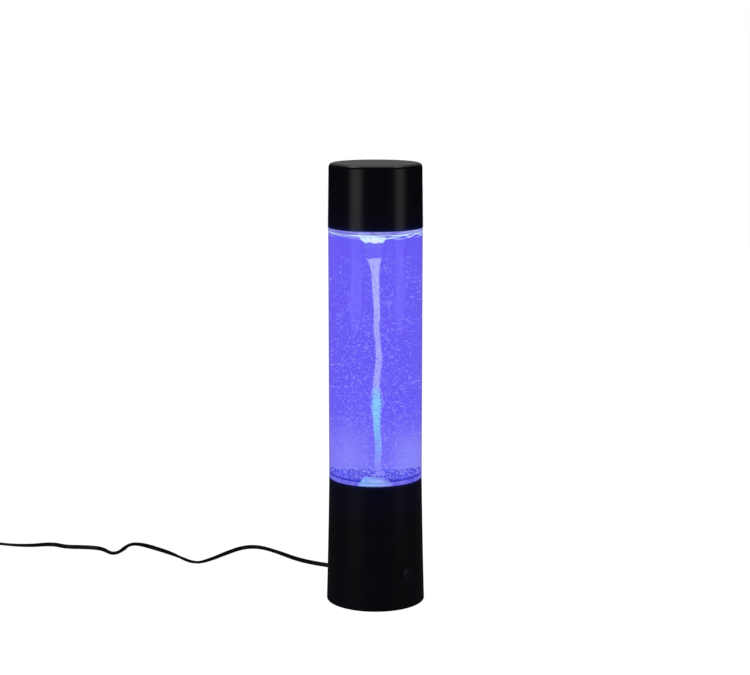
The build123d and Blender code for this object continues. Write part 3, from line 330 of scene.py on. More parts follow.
middle_in, middle_out = (coil_middle - share * turn_step * coil_out for share in (0.5, 1.5))
angle_in, inward = spiral(middle_in, coil_radius + 0.5 * turn_step, -turn_step, half_turns_in)
climb = np.clip(angle_in / np.pi - (half_turns_in - 1), 0, 1)
inward[:, 2] = coil_low + (coil_high - coil_low) * climb**2 * (3 - 2 * climb)
outward = spiral(middle_out, inner_radius + 1.5 * turn_step, turn_step, half_turns_out)[1]
outward[:, 2] = coil_high
coil_start = coil_middle + coil_radius * coil_out + [0, 0, coil_low]
coil_end = coil_middle + (inner_radius + half_turns_out * turn_step) * coil_out + [0, 0, coil_high]
coil_end = coil_end + cord_diameter * coil_ahead
route = [(0, cord_exit, cord_height), (0, cord_exit + first_run, cord_height)]
route += [(x, cord_exit + y, lie_height) for x, y in cord_lay]
route += [tuple(coil_start - before * coil_ahead) for before in (run_in + cord_diameter, cord_diameter)]
route += inward.tolist() + outward.tolist()
route += [tuple(coil_end), tuple(coil_end + 2 * cord_diameter * coil_ahead)]
route += [(coil_middle[0] + x, coil_middle[1] + y, z) for x, y, z in tail_lay]

# %% [markdown]
# The cord is flat, and it rolls as it goes: it leaves the grommet on its edge, leans and rolls between its
# edge and its broad side along the waves, stands on edge in the coil and ends flat. Its height over the
# table follows from its roll. The section is two cores side by side with a web between them.

# %% Cord as a flat tube
def spline_points(points, name):
    """Read the line of a quadratic spline through Blender, as an array of points in millimetres."""
    curve = bpy.data.curves.new(name, "CURVE")
    curve.dimensions, curve.resolution_u = "3D", 10
    spline = curve.splines.new("NURBS")
    spline.points.add(len(points) - 1)
    for place, point in zip(spline.points, points):
        place.co = (*point, 1)
    spline.order_u, spline.use_endpoint_u = 3, True
    holder = bpy.data.objects.new(name, curve)
    line = bpy.data.meshes.new_from_object(holder)
    found = np.array([vertex.co[:] for vertex in line.vertices], float)
    bpy.data.objects.remove(holder)
    return found


def evenly(points, spacing):
    """Points at equal distances along a line, and the distance of each."""
    along = np.concatenate([[0], np.cumsum(np.linalg.norm(np.diff(points, axis=0), axis=1))])
    distance = np.linspace(0, along[-1], int(along[-1] / spacing) + 1)
    return np.stack([np.interp(distance, along, points[:, axis]) for axis in range(3)], -1), distance


def softened(values, reach):
    """A running mean over so many neighbours on each side, with the ends held."""
    window = np.ones(2 * reach + 1) / (2 * reach + 1)
    return np.convolve(np.pad(values, reach, mode="edge"), window, mode="valid")


section_steps, ring_spacing = 24, 1.15
web_depth, web_width = 0.35, 0.4
line, along = evenly(spline_points(route, "cord_route"), ring_spacing)
cord_length = along[-1]
coil_from, coil_to = (along[np.linalg.norm(line - end, axis=1).argmin()] for end in (coil_start, coil_end))
roll_stops = [  # distance along the cord, and degrees: 0 lies flat and 90 stands on edge
    (0, 98), (75, 98), (100, 92), (140, 62), (180, 86), (215, 60), (232, 5), (245, 8), (270, 76), (302, 100),
    (321, 35), (340, 104), (351, 30), (362, 76), (405, 100), (420, 92), (450, 50), (475, 20),
    (coil_from - 10, 90), (coil_to, 90), (coil_to + 40, 4), (cord_length, 0)]
roll = np.radians(softened(read_off(roll_stops, along), 6))
around = np.linspace(0, 2 * np.pi, section_steps, endpoint=False)
across_section = cord_width / 2 * np.cos(around)
web = 1 - web_depth * np.exp(-((across_section / web_width) ** 2))
through_section = cord_thickness / 2 * np.sign(np.sin(around)) * np.abs(np.sin(around)) ** 0.8 * web
half_drop = np.outer(np.sin(roll), across_section) + np.outer(np.cos(roll), through_section)
lie = lie_gap + half_drop.max(axis=1)
on_table = np.clip((along - 10) / 15, 0, 1) * np.clip((coil_from - along) / 12, 0, 1)
line[:, 2] = np.maximum(line[:, 2] + (lie - lie_height) * on_table, lie)
ahead = np.gradient(line, axis=0)
ahead /= np.linalg.norm(ahead, axis=1, keepdims=True)
level = np.cross([0, 0, 1.0], ahead)
level /= np.linalg.norm(level, axis=1, keepdims=True)
upright = np.cross(ahead, level)
wide = np.cos(roll)[:, None] * level + np.sin(roll)[:, None] * upright
thin = np.cos(roll)[:, None] * upright - np.sin(roll)[:, None] * level
cord_points = line[:, None] + wide[:, None] * across_section[:, None]
cord_points = cord_points + thin[:, None] * through_section[:, None]
end_ring = np.arange(section_steps)
cord_faces = grid_faces(len(line), section_steps).tolist()
cord_faces += [end_ring[::-1].tolist(), (end_ring + (len(line) - 1) * section_steps).tolist()]
cord = new_piece("cord", cord_points, cord_faces, "lamp", "cord_black",
                 ["cord_run", "cord_coil", "cord_tail"], crease=60)
print("cord", round(cord_length), "mm, coil from", round(coil_from), "to", round(coil_to))

# %% [markdown]
# ## Grommet and plug
#
# The grommet is a turned sleeve with ribs on its nose, so that it can bend. The plug's body is one closed
# surface: sections across its length, from a ribbed round relief to a rounded block with three grip
# grooves. The metal sleeve is a thin shell round the white contact tongue.

# %% Grommet
nose_length, nose_foot, nose_taper = 5.4, 3.4, 0.9
rib_pitch, rib_depth = 1.35, 0.16
flange_radius, neck_radius, front_flange, back_flange = 4.8, 3.7, 1.2, 1.5
grommet_back, wall_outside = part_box("cord_grommet")[0].y / mm, cord_exit - nose_length - front_flange
rib = np.linspace(0, nose_length, 28)
in_groove = (np.sin(2 * np.pi * rib / rib_pitch) > 0) * (rib > 0.5) * (rib < 5.0)
nose_radius = nose_foot - nose_taper * rib / nose_length - rib_depth * in_groove
nose = np.stack([nose_radius, wall_outside + front_flange + rib], -1)
grommet_corners = [
    (flange_radius, grommet_back, 0.3), (flange_radius, grommet_back + back_flange, 0.3),
    (neck_radius, grommet_back + back_flange, 0), (neck_radius, wall_outside, 0),
    (flange_radius, wall_outside, 0.2), (flange_radius, wall_outside + front_flange, 0.5),
    (3.45, wall_outside + front_flange, 0.1), (2.0, 60, 0)]  # the last one only aims the round before it
grommet_body = rounded(grommet_corners)[:-1]
grommet_profile = np.vstack([[(0, grommet_back)], grommet_body, nose, [(0, cord_exit)]])[::-1] * [1, -1]
grommet = new_piece("grommet", *turned(grommet_profile, 64, "Y", (0, 0, cord_height)), "lamp", "cord_black",
                    ["cord_grommet"])

# %% Plug
plug_foot, plug_ahead = line[-1], (line[-1] - line[-6]) * [1, 1, 0]
plug_ahead = plug_ahead / np.linalg.norm(plug_ahead)
plug_side = np.cross([0, 0, 1.0], plug_ahead)


def lofted(sections, columns=64):
    """Superellipses (a cos^(2/n), b sin^(2/n)) at distances along the plug, with a point at each end. A
    section is its distance, half its width, half its height and its n."""
    sections = np.asarray(sections, float)
    angle = np.linspace(0, 2 * np.pi, columns, endpoint=False)
    distance, half_width, half_height, power = sections.T[:, :, None]
    side = half_width * np.sign(np.cos(angle)) * np.abs(np.cos(angle)) ** (2 / power)
    up = half_height * np.sign(np.sin(angle)) * np.abs(np.sin(angle)) ** (2 / power)
    points = plug_foot + distance[..., None] * plug_ahead + side[..., None] * plug_side
    points = points + up[..., None] * [0, 0, 1]
    ends = plug_foot + sections[[0, -1], :1] * plug_ahead
    faces = grid_faces(len(sections), columns).tolist() + closing_fans(len(sections), columns)
    return np.vstack([points.reshape(-1, 3), ends]), faces


relief_at, swell_share, block_at = np.linspace(0, 7.6, 30), np.linspace(0, 1, 9), np.linspace(11.0, 32.6, 60)
relief_radius = 2.5 + 0.1 * relief_at - 0.3 * (relief_at % 1.6 > 0.9) * (relief_at > 0.8)
relief = np.stack([relief_at, relief_radius, relief_radius, 0 * relief_at + 2], -1)
bulge = np.sin(swell_share * np.pi / 2)
swell = np.stack([8.0 + 2.4 * swell_share, 3.3 + 4.7 * bulge, 3.3 + 0.5 * bulge, 2 + 3 * swell_share], -1)
grip = 0.45 * (np.sin(2 * np.pi * (block_at - 13) / 3) > 0.2) * (block_at > 13) * (block_at < 22)
block = np.stack([block_at, 8.0 - grip, 3.8 - 0.5 * grip, 0 * block_at + 5], -1)
plug_end = [(33.2, 7.95, 3.75, 5), (33.7, 7.7, 3.5, 5), (34.0, 7.2, 3.0, 5)]
plug_sections = np.vstack([relief, swell, block, plug_end])
plug_body = new_piece("plug_moulding", *lofted(plug_sections), "lamp", "cord_black", ["plug_body"], 50)
shell = [(33.9, 6.0, 2.25, 12), (46.0, 6.0, 2.25, 12), (46.0, 5.65, 1.9, 12), (35.0, 5.65, 1.9, 12)]
sleeve = new_piece("plug_shell", *lofted(shell, 96), "lamp", "plug_metal", ["plug_sleeve"])

# %% [markdown]
# The cord's vinyl is black, with a faint thin gloss that comes and goes where it is worn. The grommet and
# the plug's body are moulded in the same vinyl, with a finer grain. The sleeve is nickel, drawn lengthways.

# %% Finishes of the cord
def vinyl(name, grain, pale, gloss=0.010):
    finish = Finish(name, Specular_IOR_Level=0.0, Coat_IOR=3.0, Coat_Roughness=0.3, Roughness=0.5)
    wear = finish.noise(90, detail=5)
    finish.set(Base_Color=finish.mix(wear, (0.0008, 0.0008, 0.0010), (pale, pale, pale * 1.05)))
    finish.set(Coat_Weight=wear * gloss + gloss * 0.5)
    return finish.bump(finish.noise(grain, detail=3), 0.02 * mm).material


cord.data.materials.append(vinyl("cord vinyl", 1500, 0.0015))
moulded_vinyl = vinyl("moulded vinyl", 2500, 0.002)
for piece in (grommet, plug_body):
    piece.data.materials.append(moulded_vinyl)
nickel = Finish("nickel", Metallic=1.0)
nickel.set(Base_Color=nickel.mix(nickel.noise(300, detail=3), (0.62, 0.60, 0.57), (0.74, 0.73, 0.71)))
nickel.set(Roughness=nickel.noise(700, stretch=(1, 1, 4)) * 0.16 + 0.2)
sleeve.data.materials.append(nickel.material)

# %% [markdown]
# ## Floor, room and lamps
#
# The picture has a plain white ground and hardly a shadow. White light from all round would wash out the
# black plastic, so the white is only what camera, mirror and glass rays meet: the room glows at strength 1
# and the floor at nearly 1 for these rays, and for the rest the room is half as bright and the floor is
# plain white paint. A weak matt layer on the floor keeps a trace of the lamp's shadow.

# %% Room and floor
def seen_directly(tree):
    """1 for camera, glossy and transmission rays, 0 for the others."""
    path = tree.nodes.new("ShaderNodeLightPath")
    total = None
    for name in ("Is Camera Ray", "Is Glossy Ray", "Is Transmission Ray"):
        added = tree.nodes.new("ShaderNodeMath")
        added.operation, added.use_clamp = "ADD", True
        added.inputs[1].default_value = 0.0
        tree.links.new(path.outputs[name], added.inputs[0])
        if total is not None:
            tree.links.new(total, added.inputs[1])
        total = added.outputs[0]
    return total


room_light = 0.5
world = bpy.data.worlds.new("room")
bpy.context.scene.world = world
world.use_nodes = True
strength = world.node_tree.nodes.new("ShaderNodeMapRange")
world.node_tree.links.new(seen_directly(world.node_tree), strength.inputs["Value"])
strength.inputs["To Min"].default_value = room_light
world.node_tree.links.new(strength.outputs[0], world.node_tree.nodes["Background"].inputs["Strength"])
world.node_tree.nodes["Background"].inputs["Color"].default_value = (1, 1, 1, 1)

floor_reach = 40.0
floor_mesh = bpy.data.meshes.new("floor")
floor_corners = floor_reach * np.array([(-1, -1, 0), (1, -1, 0), (1, 1, 0), (-1, 1, 0)])
floor_mesh.from_pydata(floor_corners.tolist(), [], [(0, 1, 2, 3)])
floor = bpy.data.objects.new("floor", floor_mesh)
bpy.context.scene.collection.objects.link(floor)

shadow_layer = 0.07  # share of the floor's white that takes light and shadow
floor_glow = 0.965
floor_finish = Finish("white floor", Base_Color=(0.8, 0.8, 0.8), Roughness=1.0, Specular_IOR_Level=0.0)
glow = floor_finish.node("ShaderNodeEmission", values={"Strength": floor_glow})
paint = floor_finish.node("ShaderNodeBsdfDiffuse", values={"Color": (shadow_layer,) * 3})
shown = floor_finish.node("ShaderNodeAddShader", values={0: glow, 1: paint})
direct = Wire(floor_finish, seen_directly(floor_finish.tree))
painted = Wire(floor_finish, floor_finish.shader.outputs[0])
floor_finish.show(floor_finish.blend_shaders(direct, painted, shown))
floor_mesh.materials.append(floor_finish.material)
print("room", room_light, "floor's shadow layer", shadow_layer)

# %% [markdown]
# Two tall soft lamps stand to the left and the right of the camera: their mirror images are the two soft
# upright streaks on the cap. Two small ones stand high at the rear sides and draw the thin lines along the
# cap's top edge, and a wide lamp overhead lights the top itself. A mirror image lies half way between the
# camera and the lamp, so each lamp stands about twice as far round as its streak.

# %% Lamps
def soft_lamp(name, turn, distance, height, aimed_at, width, tall, brightness):
    """A rectangle of light aimed at a height on the axis; its power is pi times its area times brightness."""
    light = bpy.data.lights.new(name, "AREA")
    light.shape, light.size, light.size_y = "RECTANGLE", width, tall
    light.energy = brightness * math.pi * width * tall
    lamp = bpy.data.objects.new(name, light)
    angle = toward_camera + math.radians(turn)
    lamp.location = (distance * math.cos(angle), distance * math.sin(angle), height)
    aim = lamp.location.copy()
    aim.z = height - aimed_at
    lamp.rotation_euler = aim.to_track_quat("Z", "Y").to_euler()
    bpy.context.scene.collection.objects.link(lamp)
    print(name, "turned", turn, "power", round(light.energy, 1), "W")


soft_lamp("left_strip", -48, 1.6, 0.43, 0.43, 0.80, 0.8, 16.0)
soft_lamp("right_strip", 61, 1.6, 0.43, 0.43, 0.68, 0.8, 13.0)
soft_lamp("left_high", -104, 0.95, 2.00, 0.37, 0.5, 0.4, 24.0)
soft_lamp("right_high", 110, 0.95, 2.00, 0.37, 0.3, 0.4, 24.0)
soft_lamp("overhead", 170, 0.5, 1.9, 0.2, 1.4, 1.4, 1.6)

# %% [markdown]
# ## The black plastic
#
# Base and cap are moulded in black plastic with a satin skin. Its gloss is a thin coat and not the body's
# own mirror. The cap's coat has a high index and a small weight, so it reflects much alike at all angles;
# the base's has a lower index, so it mirrors less of what stands straight before it and more along its two
# sides. The cap's flat top is glossier, and so is the narrow edge round it. The moulding grain is far finer
# than a millimetre. Next to the lit water, a painted blue glow stands in for the water's light on the plastic.

# %% Satin black
def satin_black(name, mirror_index, skin, dullness, painted_glow_near, painted_glow_far, glossy_top=1.0):
    """The painted blue glow of the water is strong next to the water's edge and has a long faint tail; both
    run from far to near.
    """
    finish = Finish(name, Specular_IOR_Level=0.0, Roughness=0.5, Emission_Strength=1.0)
    finish.set(Coat_Roughness=dullness, Coat_IOR=mirror_index)
    clouds, height = finish.noise(60, detail=4), finish.part("Z")
    finish.set(Base_Color=finish.mix(clouds, (0.0002, 0.0002, 0.0005), (0.0006, 0.0005, 0.0014)))
    on_top = height.rise(glossy_top - 0.0008, glossy_top - 0.0001)
    on_edge = height.between(glossy_top - 0.0013, glossy_top - 0.0007, 0.0005)
    finish.set(Coat_Weight=clouds * skin * 0.2 + on_top * 0.18 + on_edge * 0.05 + skin * 0.9)
    finish.bump(finish.noise(2600, detail=2), 0.004 * mm)
    # painted glow: the lit water's blue light on the plastic, as emission next to the water's edge
    painted_water_glow = height.rise(*painted_glow_near) * 0.88 + height.rise(*painted_glow_far) * 0.12
    finish.set(Emission_Color=finish.mix(painted_water_glow, (0, 0, 0), (0.0010, 0.0016, 0.036)))
    return finish.material


# %% [markdown]
# ## The base
#
# A round housing that flares towards its foot along a slightly hollow line, with a hole for the button in
# front and one for the cord behind. The wall is a turned profile, and the two round holes are cut with a
# Boolean modifier that is applied at once.

# %% Base
tube_radius, tube_bore = 40.0, 37.0
base_top, foot_gap, foot_width = 109.5, 0.6, 2.2
flare, hollow = 2.45, 0.18
base_wall, bore, ledge_bore = 2.5, 37.15, 30.55
ledge_low, ledge_high = 90.0, 93.0
foot_round_top, rim_round_foot = 2.2, 109.0
button_height, button_hole, cord_hole = 30.0, 6.2, 3.8


def wall_radius(z):
    """Tube radius plus flare times (1 - s), less 4 times the hollow times s (1 - s); s runs up the wall."""
    s = (z - foot_gap) / (base_top - foot_gap)
    return tube_radius + flare * (1 - s) - 4 * hollow * s * (1 - s)


wall_heights, inner_heights = np.linspace(2.4, 108.6, 54), np.linspace(ledge_low, 1.2, 12)
outer_wall = np.stack([wall_radius(wall_heights), wall_heights], -1)
inner_wall = np.stack([wall_radius(inner_heights) - base_wall, inner_heights], -1)
foot_radius = wall_radius(foot_gap)
foot_edge = rounded([(foot_radius - foot_width, foot_gap, 0), (foot_radius, foot_gap, 0.8),
                     (wall_radius(foot_round_top), foot_round_top, 0)])
rim_edge = rounded([(wall_radius(rim_round_foot), rim_round_foot, 0), (tube_radius, base_top, 0.35),
                    (bore, base_top, 0.2), (bore, ledge_high, 0), (ledge_bore, ledge_high, 0.3),
                    (ledge_bore, ledge_low, 0.3)])
base_profile = np.vstack([foot_edge, outer_wall, rim_edge, inner_wall])
base = new_piece("base_housing", *turned(base_profile), "lamp", "satin_black", ["base_shell"])


def drill(piece, radius, near, far, height):
    """Cut a round hole along y from near to far with a Boolean modifier, applied at once."""
    profile = [(0, -far), (radius, -far), (radius, -near), (0, -near)]
    cutter_points, cutter_faces = turned(profile, 96, axis="Y", shift=(0, 0, height))
    mesh = bpy.data.meshes.new("cutter")
    mesh.from_pydata((cutter_points * mm).tolist(), [], cutter_faces)
    cutter = bpy.data.objects.new("cutter", mesh)
    bpy.context.scene.collection.objects.link(cutter)
    cut = piece.modifiers.new("hole", "BOOLEAN")
    cut.operation, cut.solver, cut.object = "DIFFERENCE", "EXACT", cutter
    bpy.context.view_layer.update()
    done = bpy.data.meshes.new_from_object(piece.evaluated_get(bpy.context.evaluated_depsgraph_get()))
    piece.modifiers.clear()
    piece.data = done
    bpy.data.objects.remove(cutter)
    print(piece.name, "after its hole", len(done.vertices), "points")


in_the_air, in_the_base = 60.0, 20.0  # where a drill starts or ends, from the axis
drill(base, button_hole, -in_the_air, -in_the_base, button_height)
drill(base, cord_hole, in_the_base, in_the_air, cord_height)
base.data.materials.clear()
base.data.materials.append(
    satin_black("satin black base", 1.7, 0.0260, 0.36, (0.1062, 0.1095), (0.070, 0.106)))

# %% [markdown]
# ## The button
#
# One push button, black like the base, with a shallow dome that stands a hair proud of the wall. Only the
# dark gap round it and the light on its dome show that it is there: its face is as glossy as the base, and
# its side in the hole is matt. It is turned round an axis along y.

# %% Button
button_radius, button_edge, dome_rise = 5.9, 41.8, 0.8
stem_radius, stem_back = 2.0, 30.2
stop_radius, stop_back, stop_front = 7.2, 36.6, 37.8
dome_share = np.linspace(0, 0.94, 12)
dome = np.stack([button_radius * dome_share, button_edge + dome_rise * (1 - dome_share**2)], -1)[::-1]
button_back = rounded([
    (0, stem_back, 0), (stem_radius, stem_back, 0.2), (stem_radius, stop_back, 0),
    (stop_radius, stop_back, 0.2), (stop_radius, stop_front, 0.2), (button_radius, stop_front, 0),
    (button_radius, button_edge + 0.05, 0.25), (button_radius * 0.95, button_edge + 0.12, 0),
    (0, 43, 0)])[:-1]
button_shape = turned(np.vstack([button_back, dome]), 96, axis="Y", shift=(0, 0, button_height))
button = new_piece("push_button", *button_shape, "button", "button_black", ["mode_button"])
button_finish = Finish("button black", Specular_IOR_Level=0.0, Roughness=0.4)
button_finish.set(Coat_Roughness=0.36, Coat_IOR=1.7)
face = button_finish.part("Y").rise(-0.04172, -0.04190)
face_colour = button_finish.mix(face * button_finish.noise(150), (0.0, 0.0, 0.0), (0.0016, 0.0014, 0.0030))
button_finish.set(Base_Color=face_colour, Coat_Weight=face * 0.030 + 0.001)
button_finish.bump(button_finish.noise(3000), 0.003 * mm)
button.data.materials.append(button_finish.material)

# %% [markdown]
# ## The cap
#
# A tall black cup turned upside down, a little narrower at the top, with a soft round top edge. Like the
# base it is one turned profile, and it rides on its own body, because it lifts off the tube.

# %% Cap
cap_foot, cap_top, cap_radius, cap_draft = 325.7, 380.0, 40.3, 0.8
cap_wall, cap_roof, cap_edge = 2.2, 2.5, 4.3
cap_heights = np.linspace(cap_foot + 1.0, cap_top - cap_edge - 1.5, 16)
cap_lean = cap_draft * (cap_heights - cap_foot) / (cap_top - cap_foot)
cap_wall_line = np.stack([cap_radius - cap_lean, cap_heights], -1)
cap_foot_edge = rounded([(cap_radius - cap_wall, cap_foot, 0), (cap_radius, cap_foot, 0.4),
                         (cap_radius - 0.01, cap_foot + 0.9, 0)])
cap_shoulder = (cap_radius - cap_draft + 0.08, cap_top - cap_edge - 0.3, 0)
cap_top_edge = rounded([cap_shoulder, (cap_radius - cap_draft, cap_top, cap_edge), (33.6, cap_top, 0)], 18)
cap_rings = np.stack([np.linspace(32, 2, 12), np.full(12, cap_top)], -1)
cap_ceiling = cap_top - cap_roof
cap_inside = [(0, cap_ceiling), (34.0, cap_ceiling), (cap_radius - cap_draft - cap_wall, cap_ceiling)]
cap_outside = [cap_foot_edge, cap_wall_line, cap_top_edge, cap_rings, [(0, cap_top)]]
cap_profile = np.vstack([cap_inside, *cap_outside])
cap = new_piece("cap_cup", *turned(cap_profile), "cap", "satin_black", ["cap_shell"])
cap.data.materials.append(
    satin_black("satin black cap", 3.0, 0.0068, 0.25, (0.3300, 0.3256), (0.350, 0.327), cap_top * mm))

# %% [markdown]
# ## The clear tube
#
# A stock acrylic tube. It bends what lies behind it, so that the water seems to fill it from edge to edge:
# a plain see-through skin would leave two pale stripes beside the water. The light is bent once, at the
# outer face; the inner face is left out, because water and acrylic bend light nearly alike. The gloss has a
# dark violet colour, so that the white room draws only a dim line along the tube's two edges.

# %% Tube
tube_top, water_edge, edge_climb = 325.5, 321.1, 1.3  # the edge climbs the wall as a thin film
tube_corners = [(tube_bore, base_top, 0.3), (tube_radius, base_top, 0.3), (tube_radius, tube_top, 0.4),
                (tube_bore, tube_top, 0.4)]
tube = new_piece("tube_wall", *turned(rounded(tube_corners)), "lamp", "clear_acrylic", ["clear_tube"])
clear = Finish("clear acrylic")
bend_values = {"Color": (1.0, 1.0, 1.0), "Roughness": 0.0, "IOR": 1.35}
bend = clear.node("ShaderNodeBsdfRefraction", values=bend_values)
mirror = clear.node("ShaderNodeBsdfGlossy", values={"Color": (0.15, 0.13, 0.30), "Roughness": 0.04})
gloss_share = clear.node("ShaderNodeFresnel", values={"IOR": 1.2}) * 1.3
outer_face = clear.radius().rise((tube_radius - 1.6) * mm, (tube_radius - 1.4) * mm)
glass = clear.blend_shaders(gloss_share, bend, mirror)
clear.show(clear.blend_shaders(outer_face, clear.node("ShaderNodeBsdfTransparent"), glass))
tube.data.materials.append(clear.material)

# %% [markdown]
# ## The water and its vortex
#
# One body of water: its wall, its dished surface and the thin funnel down its middle are one closed grid.
# The surface stands highest at the wall, because the water turns. The funnel has a bowl with steep sides, a
# ragged throat and a long thin core that sways a little and turns aside over the disc. The light in real
# water comes from ten thousand bubbles; here each face glows in the colour that the bubbles give it. The
# near wall is mostly see-through and the far wall is solid, so the funnel shows.

# %% Profile of the water
water_foot, seat_top, water_radius, seat_reach = 113.3, 115.6, 36.9, 35.25
mouth_radius, mouth_height, throat_height, bowl_height = 10.0, 320.7, 284, 301
funnel_stops = [  # height and radius
    (water_foot, 3.6), (116, 2.6), (120, 1.8), (165, 1.8), (180, 1.9), (197, 1.55), (212, 1.8), (230, 1.55),
    (262, 1.65), (272, 1.9), (throat_height, 2.3), (290, 2.6), (295, 3.2), (298.5, 4.0), (bowl_height, 4.7),
    (304, 5.1), (308, 5.4), (312, 5.8), (313.5, 6.3), (315, 7.0), (316.5, 7.7), (318, 8.2), (319.5, 8.6),
    (mouth_height, mouth_radius)]
sway_stops = [  # height and how far the core stands to the right
    (113, 3.4), (118, 1.8), (126, 1.0), (134, 2.1), (143, 1.6), (156, 0.8), (170, 0.6), (196, 0.6),
    (204, 1.4), (215, 2.4), (228, 1.5), (238, 0.6), (250, 1.0), (265, 0.6), (280, 0), (300, -0.6),
    (310, -1.6), (319, -2.0)]
foot_rows = rounded([
    (3.6, water_foot, 0), (seat_reach, water_foot, 0.2), (seat_reach, seat_top, 0.2),
    (water_radius, seat_top, 0.3), (water_radius, 118.0, 0), (10.0, 200.0, 0)])[:-1]
wall_rows = np.stack([np.full(40, water_radius), np.linspace(120.0, water_edge + edge_climb, 40)], -1)
dish_radius = np.linspace(water_radius - 0.2, mouth_radius, 40)
dish_share = (dish_radius - mouth_radius) / (water_radius - mouth_radius)
dish_rows = np.stack([dish_radius, mouth_height + (water_edge - mouth_height) * dish_share**0.8], -1)
funnel_heights = np.concatenate([np.linspace(mouth_height, throat_height, 80)[1:],
                                 np.linspace(throat_height, water_foot, 330)[1:]])
funnel_rows = np.stack([softened(read_off(funnel_stops, funnel_heights), 2), funnel_heights], -1)
water_rows = np.vstack([foot_rows, wall_rows, dish_rows, funnel_rows])
dish_start = len(foot_rows) + len(wall_rows)
funnel_start = dish_start + len(dish_rows)
print("rows of the water:", len(water_rows))

# %% Shape of the water
columns = 192
turn = np.linspace(0, 2 * np.pi, columns, endpoint=False)[None, :]
r, z = water_rows[:, :1] + 0 * turn, water_rows[:, 1:] + 0 * turn
row_number = np.arange(len(water_rows))[:, None]
in_dish = (row_number >= dish_start) & (row_number < funnel_start)
in_funnel = row_number >= funnel_start
dish_waves = 0.20 * np.sin(5 * turn + 0.35 * r) + 0.12 * np.sin(11 * turn - 0.5 * r)
z = z + in_dish * dish_waves * np.clip((r - mouth_radius) / 5, 0, 1) * np.clip((water_radius - r) / 4, 0, 1)
slow = 0.09 * np.sin(2 * turn + 0.11 * z) + 0.06 * np.sin(3 * turn - 0.23 * z)
fine = 0.09 * np.sin(5 * turn + 1.9 * z) + 0.08 * np.sin(7 * turn - 2.7 * z + 1.3 * np.sin(0.6 * z))
fine = fine + 0.06 * np.sin(3 * turn + 4.3 * z)
ragged = slow + fine * (1 - np.clip((z - bowl_height) / 4, 0, 1))
r = r * (1 + in_funnel * ragged * np.clip((mouth_height - z) / 6, 0, 1))
aside = in_funnel * softened(read_off(sway_stops, water_rows[:, 1]), 8)[:, None]
aside = aside * np.clip((mouth_height - z) / 1.2, 0, 1)
water_points = round_axis(r, turn, z) + round_axis(aside, toward_right, 0)
water_faces = grid_faces(len(water_rows), columns, close_rows=True).tolist()
water = new_piece("water_body", water_points, water_faces, "lamp", "lit_water", ["water_column"])
row_of_face = np.arange(len(water_faces)) // columns
kind_of_face = 3 * (row_of_face < 1) + (row_of_face >= dish_start - 1) + (row_of_face >= funnel_start - 1)
water.data.polygons.foreach_set("material_index", kind_of_face)

# %% [markdown]
# ## Colours of the lit water
#
# Four finishes share the piece. The wall is violet-blue with soft clouds and small pale flecks, hazier near
# the foot, with two broad pale fields where the bubbles rise. The surface is pale violet, with a bright
# patch round the mouth, a painted reflection of the lamps below. The funnel is pale violet above and cyan
# below, where it stands nearer to the lamps in the base. The underside is clear but for the bubbles that rest
# on the disc.

# %% Light in the water
water_blue, water_haze = (0.140, 0.102, 0.930), (0.255, 0.245, 0.970)
pale_violet, mid_violet = (0.54, 0.55, 1.0), (0.45, 0.46, 1.0)
pale_cyan, white_cyan = (0.27, 0.76, 1.0), (0.98, 1.16, 1.08)


def lit(name, colour=(1, 1, 1)):
    """A finish that glows and is black apart from that."""
    return Finish(name, Base_Color=(0, 0, 0), Specular_IOR_Level=0.0, Roughness=0.6, Emission_Strength=1.0,
                  Emission_Color=colour)


def foot_glow(finish):
    """1 on two patches at the foot, in front and behind, where a lamp shines straight out. A patch is what
    lies further ahead than 33.9 mm at 110 mm up, and a fifth of a millimetre more for each one above that."""
    ahead = finish.toward(toward_camera).math("ABSOLUTE")
    wanted = finish.part("Z") * 0.20 + (0.0339 - 0.110 * 0.20)
    near_side = 1 - finish.back_of_face()
    fading = 1 - finish.toward(toward_right).rise(0.002, 0.019) * 0.75
    return (ahead - wanted).rise(-0.0002, 0.0005) * finish.part("Z").rise(0.1180, 0.1174) * near_side * fading


def glow_colour(finish):
    """Cyan on the left of a patch, pale violet on its right, mottled, and dim in its upper right corner."""
    share = finish.toward(toward_right).rise(-0.012, 0.010)
    colour = finish.mix(share, (0.25, 0.47, 1.0), (0.35, 0.46, 1.0))
    colour = finish.mix(finish.noise(260, detail=4).rise(0.48, 0.7) * 0.45, colour, (0.14, 0.26, 0.80))
    corner = share * (finish.part("Z") + (finish.noise(200) - 0.5) * 0.003).rise(0.1136, 0.1172)
    return finish.mix(corner * 0.85, colour, (0.12, 0.14, 0.78))


def by_height(finish, height, low_stops):
    """A ramp of colours from 120 mm up to 320 mm; its upper stops are the same wherever it is used."""
    high_stops = [(0.60, mid_violet), (0.70, pale_violet), (1.00, pale_violet)]
    return finish.ramp(height.math("MULTIPLY_ADD", 5.0, -0.6), low_stops + high_stops)


